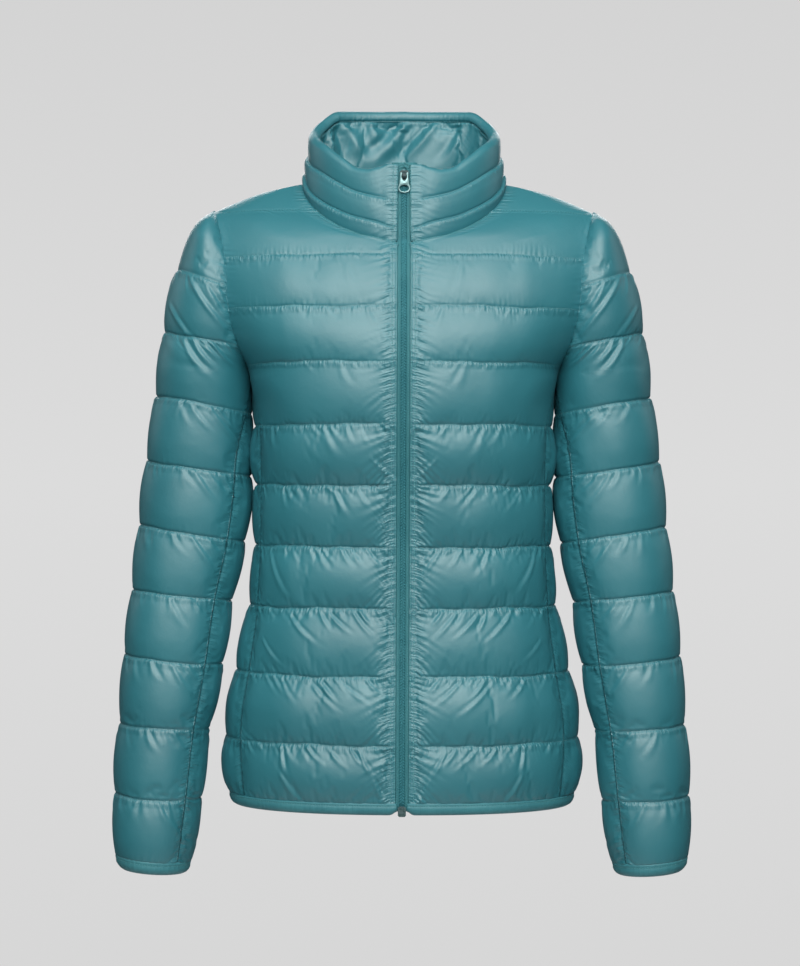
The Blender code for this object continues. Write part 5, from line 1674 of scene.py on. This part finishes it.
def thread_material():
    """Spun polyester sewing thread."""
    nodes, place, colour, roughness = coloured("teal thread", THREAD_DEEP, THREAD_PALE, 300.0, 500.0,
                                               0.45, 0.60)
    ply = nodes.wave(place, 900.0, "DIAGONAL")
    return nodes.finish(colour, roughness, nodes.bump(ply, 0.3, 0.00005), Specular_IOR_Level=0.4)


def metal_material(name, deep, pale, low, high, metallic=0.7):
    """Lacquered die-cast metal, a little worn by handling."""
    nodes, place, colour, roughness = coloured(name, deep, pale, 700.0, 900.0, low, high, 3.0, 0.3)
    pitted = nodes.bump(nodes.noise(place, 2500.0, 2.0), 0.12, 0.00005)
    return nodes.finish(colour, roughness, pitted, Metallic=metallic, Coat_Weight=0.1, Coat_Roughness=0.35)


SHELL_DEEP = (0.011, 0.142, 0.185)
SHELL_PALE = (0.015, 0.162, 0.208)
BINDING_DEEP = (0.030, 0.165, 0.205)
BINDING_PALE = (0.040, 0.195, 0.235)
TAPE_DEEP = (0.022, 0.135, 0.165)
TAPE_PALE = (0.032, 0.160, 0.190)
COIL_DEEP = (0.020, 0.150, 0.190)
COIL_PALE = (0.032, 0.185, 0.225)
THREAD_DEEP = (0.070, 0.260, 0.300)
THREAD_PALE = (0.110, 0.330, 0.370)
# The slider's teal lacquer, darkened further with painted shade.
SLIDER_SHADED_DEEP = (0.010, 0.034, 0.042)
SLIDER_SHADED_PALE = (0.018, 0.050, 0.060)
PULL_DEEP = (0.20, 0.37, 0.40)
PULL_PALE = (0.30, 0.49, 0.52)
BOX_DEEP = (0.05, 0.11, 0.12)
BOX_PALE = (0.16, 0.25, 0.27)


# ------------------------------------------------------------------ the quilted pieces
# Size, reach and wavelength of the puckers along the stitched lines of each piece.
BODY_PUCKERS = (0.00055, 0.0065, 0.0043)
SLEEVE_PUCKERS = (0.00055, 0.0065, 0.0048)
COLLAR_PUCKERS = (0.00016, 0.0040, 0.0048)
FACING_PUCKERS = (0.0004, 0.0070, 0.0050)
# The same of those that run out from an edge: beside the zip, on its stitched strips, and at the sides.
ZIP_PUCKERS = (0.0015, 0.0115, 0.0050)
CHEST_ZIP_PUCKERS = (0.0012, 0.0105, 0.0066)
COLLAR_ZIP_PUCKERS = (0.0008, 0.0125, 0.0047)
STRIP_PUCKERS = (0.00022, 0.0070, 0.0044)
FRONT_SIDE_PUCKERS = (0.0008, 0.0075, 0.0048)
BACK_SIDE_PUCKERS = (0.0009, 0.0075, 0.0055)
SLEEVE_SIDE_PUCKERS = (0.0008, 0.0070, 0.0052)
BODY_LINING_PUFF = 0.0016    # how far a lining swells inwards
SLEEVE_LINING_PUFF = 0.0014
STRIP_STITCHES = (0.0011, 0.0044)    # rows of stitches on the zip strips, from the front edge


def refine_body(fine, rng, lean, crowd):
    """Puckers and creases of a front or the back."""
    pucker_bands(fine, rng, *BODY_PUCKERS)
    for number, (top, bottom) in enumerate(bands(fine.seams)):
        low_band = number >= 4
        width = float(fine.width[top, 0])
        count = max(3, round(width / ((0.015 if low_band else 0.026) * crowd)))
        depth, reach = (0.0008, 0.018) if low_band else (0.00045, 0.012)
        long_creases(fine, rng, top, bottom, count, lean, depth, reach)
    seam_grooves(fine, SEAM_DEPTH, SEAM_HALF_WIDTH)


def round_edges(fine):
    """Lets a panel's edges turn down into the seams beside them."""
    from_side = np.minimum(fine.across, fine.width - fine.across)
    fine.lift -= EDGE_DROP * np.exp(-(from_side / EDGE_HALF_WIDTH) ** 2) * fine.room


def build_front(name, node, grid, move, rng, material):
    """One front, with the zip's stitched strip along its edge."""
    fine = Fine(grid, move)
    refine_body(fine, rng, -0.5, 1.0)
    placed_creases(fine, rng, FRONT_CREASES)
    low = ramp(-fine.base[..., 2], 0.055, 0.075)
    from_strip = fine.across - ZIP_STRIP
    fine.from_edge = np.minimum(np.abs(from_strip), 0.006 + fine.width - fine.across)
    strength = low * (from_strip > 0) * (0.75 + 0.45 * ramp(-fine.base[..., 2], 0.20, 0.30))
    lower_body = ramp(-fine.base[..., 2], 0.13, 0.24)
    slant = (0.25 - 0.95 * fine.shares()) * (0.25 + 0.75 * lower_body)
    pucker_edge(fine, rng, from_strip, *ZIP_PUCKERS, strength * (0.4 + 0.6 * lower_body), slant)
    pucker_edge(fine, rng, from_strip, *CHEST_ZIP_PUCKERS, low * (from_strip > 0) * (1 - lower_body))
    pucker_edge(fine, rng, fine.across, *STRIP_PUCKERS, low * (from_strip <= 0))
    from_side = fine.width - fine.across
    pucker_edge(fine, rng, from_side, *FRONT_SIDE_PUCKERS, np.minimum(3 * fine.slack, 1.0))
    for place in STRIP_STITCHES:
        fine.lift -= 0.00035 * np.exp(-((fine.across - place) / 0.0006) ** 2) * low
    round_edges(fine)
    piece = closed_panel(name, fine, lining(grid, rng, BODY_LINING_PUFF), material)
    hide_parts(node)
    return fine


def build_back(grid, move, rng, material):
    """The back."""
    fine = Fine(grid, move)
    refine_body(fine, rng, 0.0, 0.8)
    for from_side in (fine.across, fine.width - fine.across):
        near = (from_side < fine.width / 2) * fine.slack
        pucker_edge(fine, rng, from_side, *BACK_SIDE_PUCKERS, near)
    round_edges(fine)
    piece = closed_panel("back_panel", fine, lining(grid, rng, BODY_LINING_PUFF), material)
    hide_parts("back")
    return fine


def build_sleeve(name, node, grid, move, rng, material):
    """One sleeve."""
    fine = Fine(grid, move)
    pucker_bands(fine, rng, *SLEEVE_PUCKERS)
    for top, bottom in bands(fine.seams):
        count = max(3, round(float(fine.width[top, 0]) / 0.017))
        long_creases(fine, rng, top, bottom, count, -0.25, 0.0008, 0.020)
    outward = np.abs(fine.base[..., 0])
    fine.place = outward.copy()
    for top, bottom in bands(fine.seams):
        fine.place[top:bottom + 1] -= outward[top].min()
    placed_creases(fine, rng, SLEEVE_CREASES)
    seam_grooves(fine, SEAM_DEPTH, SEAM_HALF_WIDTH)
    for from_side in (fine.across, fine.width - fine.across):
        near = (from_side < fine.width / 2) * np.minimum(3 * fine.slack, 1.0)
        pucker_edge(fine, rng, from_side, *SLEEVE_SIDE_PUCKERS, near)
    round_edges(fine)
    piece = closed_panel(name, fine, lining(grid, rng, SLEEVE_LINING_PUFF), material)
    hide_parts(node)
    return fine


COLLAR_STRIP = 0.0040        # from the collar's front edge to the inner stitches beside the zip


def build_collar(grid, move, rng, material):
    """The collar's shell."""
    fine = Fine(grid, move)
    pucker_bands(fine, rng, *COLLAR_PUCKERS)
    seam_grooves(fine, 0.0005, 0.0010)
    fine.from_edge = np.abs(fine.from_edge - COLLAR_STRIP)
    for from_edge in (fine.across, fine.width - fine.across):
        near = (from_edge < fine.width / 2) * 1.0
        beyond = from_edge > COLLAR_STRIP
        pucker_edge(fine, rng, from_edge - COLLAR_STRIP, *COLLAR_ZIP_PUCKERS, near * beyond)
        pucker_edge(fine, rng, from_edge, *STRIP_PUCKERS, near * ~beyond)
    round_edges(fine)
    piece = closed_panel("collar_shell", fine, grid.back_face, material)
    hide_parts("collar")
    return fine


def build_facing(grid, move, rng, material):
    """The collar's inner side, gathered and folded."""
    fine = Fine(grid, move)
    pucker_bands(fine, rng, *FACING_PUCKERS)
    placed_creases(fine, rng, FACING_FOLDS)
    round_edges(fine)
    piece = closed_panel("collar_facing_panel", fine, grid.back_face, material)
    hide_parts("collar_facing")
    return fine


# ------------------------------------------------------------------ stage, light and camera
CAMERA_DISTANCE = 2.5
CAMERA_HEIGHT = -0.288
CAMERA_LENS = 96.0
CAMERA_SENSOR = 36.0
CAMERA_ROLL = math.radians(-0.22)
CAMERA_ASIDE = -0.0029
FLOOR_HEIGHT = -1.45         # as if the wearer stood on it
FLOOR_RADIUS = 1.15
FLOOR_COLOUR = (0.60, 0.60, 0.60)


def plain_material(name, colour, roughness):
    """A material of one even colour."""
    material = bpy.data.materials.new(name)
    material.use_nodes = True
    shader = material.node_tree.nodes["Principled BSDF"]
    shader.inputs["Base Color"].default_value = (*colour, 1.0)
    shader.inputs["Roughness"].default_value = roughness
    shader.inputs["Specular IOR Level"].default_value = 0.1
    return material


def make_floor():
    """A plain pale disc, far enough down to stay out of the photo's view."""
    bpy.ops.mesh.primitive_circle_add(vertices=96, radius=FLOOR_RADIUS, fill_type="NGON",
                                      location=(0, 0, FLOOR_HEIGHT))
    floor = bpy.context.object
    floor.name = "floor"
    floor.data.materials.append(plain_material("floor paper", FLOOR_COLOUR, 0.9))


BACKDROP_SHADED_GREYS = (
    # position, grey: from below the horizon to above it, with painted shading that is brightest at the
    # horizon
    (0.0, 0.665),
    (0.5, 0.715),
    (1.0, 0.635),
)
BACKDROP_SPAN = 0.25         # of the view's upward part, each way from the horizon
WORLD_LIGHT = 0.11           # strength of the light that comes from all round
WORLD_COLOUR = (0.50, 0.50, 0.51, 1.0)
LIGHT_TARGET = (0.0, 0.0, -0.30)
WARM = (1.0, 0.965, 0.90)
WHITE = (1.0, 1.0, 1.0)
LIGHTS = (
    # name, place, size, watts, colour
    ("key", (0.0, -2.3, 0.80), (3.4, 1.0), 88.0, WARM),
    ("top", (0.0, -1.5, 2.3), (3.0, 1.2), 54.0, WARM),
    ("rim_left", (2.6, 1.2, 0.8), (1.2, 1.6), 7.0, WHITE),
    ("rim_right", (-2.6, 1.2, 0.8), (1.2, 1.6), 7.0, WHITE),
    ("back", (0.0, 2.8, 1.0), (2.4, 1.4), 75.0, WHITE),
)


def make_world():
    """A pale backdrop with painted shading, brightest at the horizon and darker below and above it, and a
    weak even light from all round.
    """
    world = bpy.data.worlds.new("studio")
    world.use_nodes = True
    tree = world.node_tree
    tree.nodes.clear()
    kinds = ("Background", "Background", "TexCoord", "SeparateXYZ", "ValToRGB", "MapRange", "LightPath",
             "MixShader", "OutputWorld")
    seen, lit, way, parts, shade, span, ray, mix, out = (tree.nodes.new("ShaderNode" + kind)
                                                        for kind in kinds)
    span.inputs["From Min"].default_value = -BACKDROP_SPAN
    span.inputs["From Max"].default_value = BACKDROP_SPAN
    stops = shade.color_ramp.elements
    stops.new(0.5)
    # the backdrop's greys are painted shading: lightest at the horizon, darker below and above it
    for stop, (position, grey) in zip(stops, BACKDROP_SHADED_GREYS):
        stop.position = position
        stop.color = (grey, grey, grey, 1.0)
    lit.inputs["Color"].default_value = WORLD_COLOUR
    lit.inputs["Strength"].default_value = WORLD_LIGHT
    for source, target in ((way.outputs["Generated"], parts.inputs["Vector"]),
                           (parts.outputs["Z"], span.inputs["Value"]),
                           (span.outputs["Result"], shade.inputs["Fac"]),
                           (shade.outputs["Color"], seen.inputs["Color"]),
                           (ray.outputs["Is Camera Ray"], mix.inputs["Fac"]),
                           (lit.outputs["Background"], mix.inputs[1]),
                           (seen.outputs["Background"], mix.inputs[2]),
                           (mix.outputs["Shader"], out.inputs["Surface"])):
        tree.links.new(source, target)
    bpy.context.scene.world = world


def make_lights():
    """Large soft area lights that all point at the jacket's middle."""
    for name, place, size, energy, colour in LIGHTS:
        light = bpy.data.lights.new(name, "AREA")
        light.shape = "RECTANGLE"
        light.size, light.size_y = size
        light.energy = energy
        light.color = colour
        thing = bpy.data.objects.new(name, light)
        thing.location = place
        thing.rotation_euler = (Vector(LIGHT_TARGET) - Vector(place)).to_track_quat("-Z", "Y").to_euler()
        bpy.context.scene.collection.objects.link(thing)


def make_camera():
    """The camera at the photo's angle."""
    camera = bpy.data.cameras.new("camera")
    camera.sensor_fit = "VERTICAL"
    camera.sensor_height = CAMERA_SENSOR
    camera.sensor_width = CAMERA_SENSOR
    camera.lens = CAMERA_LENS
    thing = bpy.data.objects.new("camera", camera)
    thing.location = (CAMERA_ASIDE, -CAMERA_DISTANCE, CAMERA_HEIGHT)
    thing.rotation_euler = (math.pi / 2, CAMERA_ROLL, 0.0)
    bpy.context.scene.collection.objects.link(thing)
    bpy.context.scene.camera = thing


# ------------------------------------------------------------------ assembly
COLLAR_STITCH_START = 8      # rows below the collar's first stitched line


def sew_strip(fine, place, first):
    """A row of stitches down the strip beside the zip, from a row to the last stitched line."""
    line = column_line(fine, place, first, fine.seams[-1])
    sew(*line, pitch=0.0025, lift=0.0001, size=1.5)


def sew_panels(fronts, back, sleeves, collar):
    """Stitches along the quilting lines, down the zip strips and round the collar's inner band."""
    for fine in fronts:
        for row in fine.seams[:-1]:
            points, normals = seam_line(fine, row)
            keep = fine.across[row] > ZIP_STRIP
            sew(points[keep], normals[keep])
        for place in STRIP_STITCHES:
            sew_strip(fine, place, 2 * FRONT_TOP_ROWS)
    for fine in (back, *sleeves, collar):
        for row in fine.seams[:-1]:
            sew(*seam_line(fine, row))
    first = collar.seams[0] + COLLAR_STITCH_START
    for place in STRIP_STITCHES:
        sew_strip(collar, place, first)
        sew_strip(collar, float(collar.width[-1, 0]) - place, first)


def coat_metals():
    """Materials for the metal parts.  The slider and the bottom box come straight from the CAD; the slider's
    dark colour is its own teal lacquer darkened further with painted shade.
    """
    # the slider's colours are its teal lacquer darkened further with painted shade
    slider = metal_material("slider lacquer with painted shade", SLIDER_SHADED_DEEP, SLIDER_SHADED_PALE, 0.55, 0.68, 0.2)
    pull = metal_material("pull lacquer", PULL_DEEP, PULL_PALE, 0.40, 0.52, 0.45)
    box = metal_material("box lacquer", BOX_DEEP, BOX_PALE, 0.30, 0.44)
    make_pull(pull)
    for node, material in (("zip_slider", slider), ("zip_box", box)):
        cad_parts[node].data.materials.clear()
        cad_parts[node].data.materials.append(material)


def build():
    """The whole scene.  Every random draw comes from one generator, in this order."""
    seeds = np.random.default_rng(SEED)
    grids = [front_grid("front_left_panel", False, seeds), front_grid("front_right_panel", True, seeds),
             back_grid(seeds), sleeve_grid("sleeve_left_panel", False, seeds),
             sleeve_grid("sleeve_right_panel", True, seeds), collar_grid(), facing_grid(seeds)]
    moves = blow_up(grids)
    nylon = shell_material()
    fronts = [build_front("front_left_panel", "front_left", grids[0], moves[0], seeds, nylon),
              build_front("front_right_panel", "front_right", grids[1], moves[1], seeds, nylon)]
    back = build_back(grids[2], moves[2], seeds, nylon)
    sleeves = [build_sleeve("sleeve_left_panel", "sleeve_left", grids[3], moves[3], seeds, nylon),
               build_sleeve("sleeve_right_panel", "sleeve_right", grids[4], moves[4], seeds, nylon)]
    collar = build_collar(grids[5], moves[5], seeds, nylon)
    build_facing(grids[6], moves[6], seeds, nylon)
    binding = binding_material()
    tape = tape_material("teal zip tape", TAPE_DEEP, TAPE_PALE)
    sew_panels(fronts, back, sleeves, collar)
    make_hem(seeds, binding)
    for side in ("left", "right"):
        make_cuff(side, seeds, binding)
        make_tape(side, seeds, tape)
    make_coil(tape_material("teal zip coil", COIL_DEEP, COIL_PALE))
    make_stitches("stitches", thread_material())
    coat_metals()
    make_floor()
    make_world()
    make_lights()
    make_camera()
    bpy.context.scene.view_settings.view_transform = "Standard"


build()
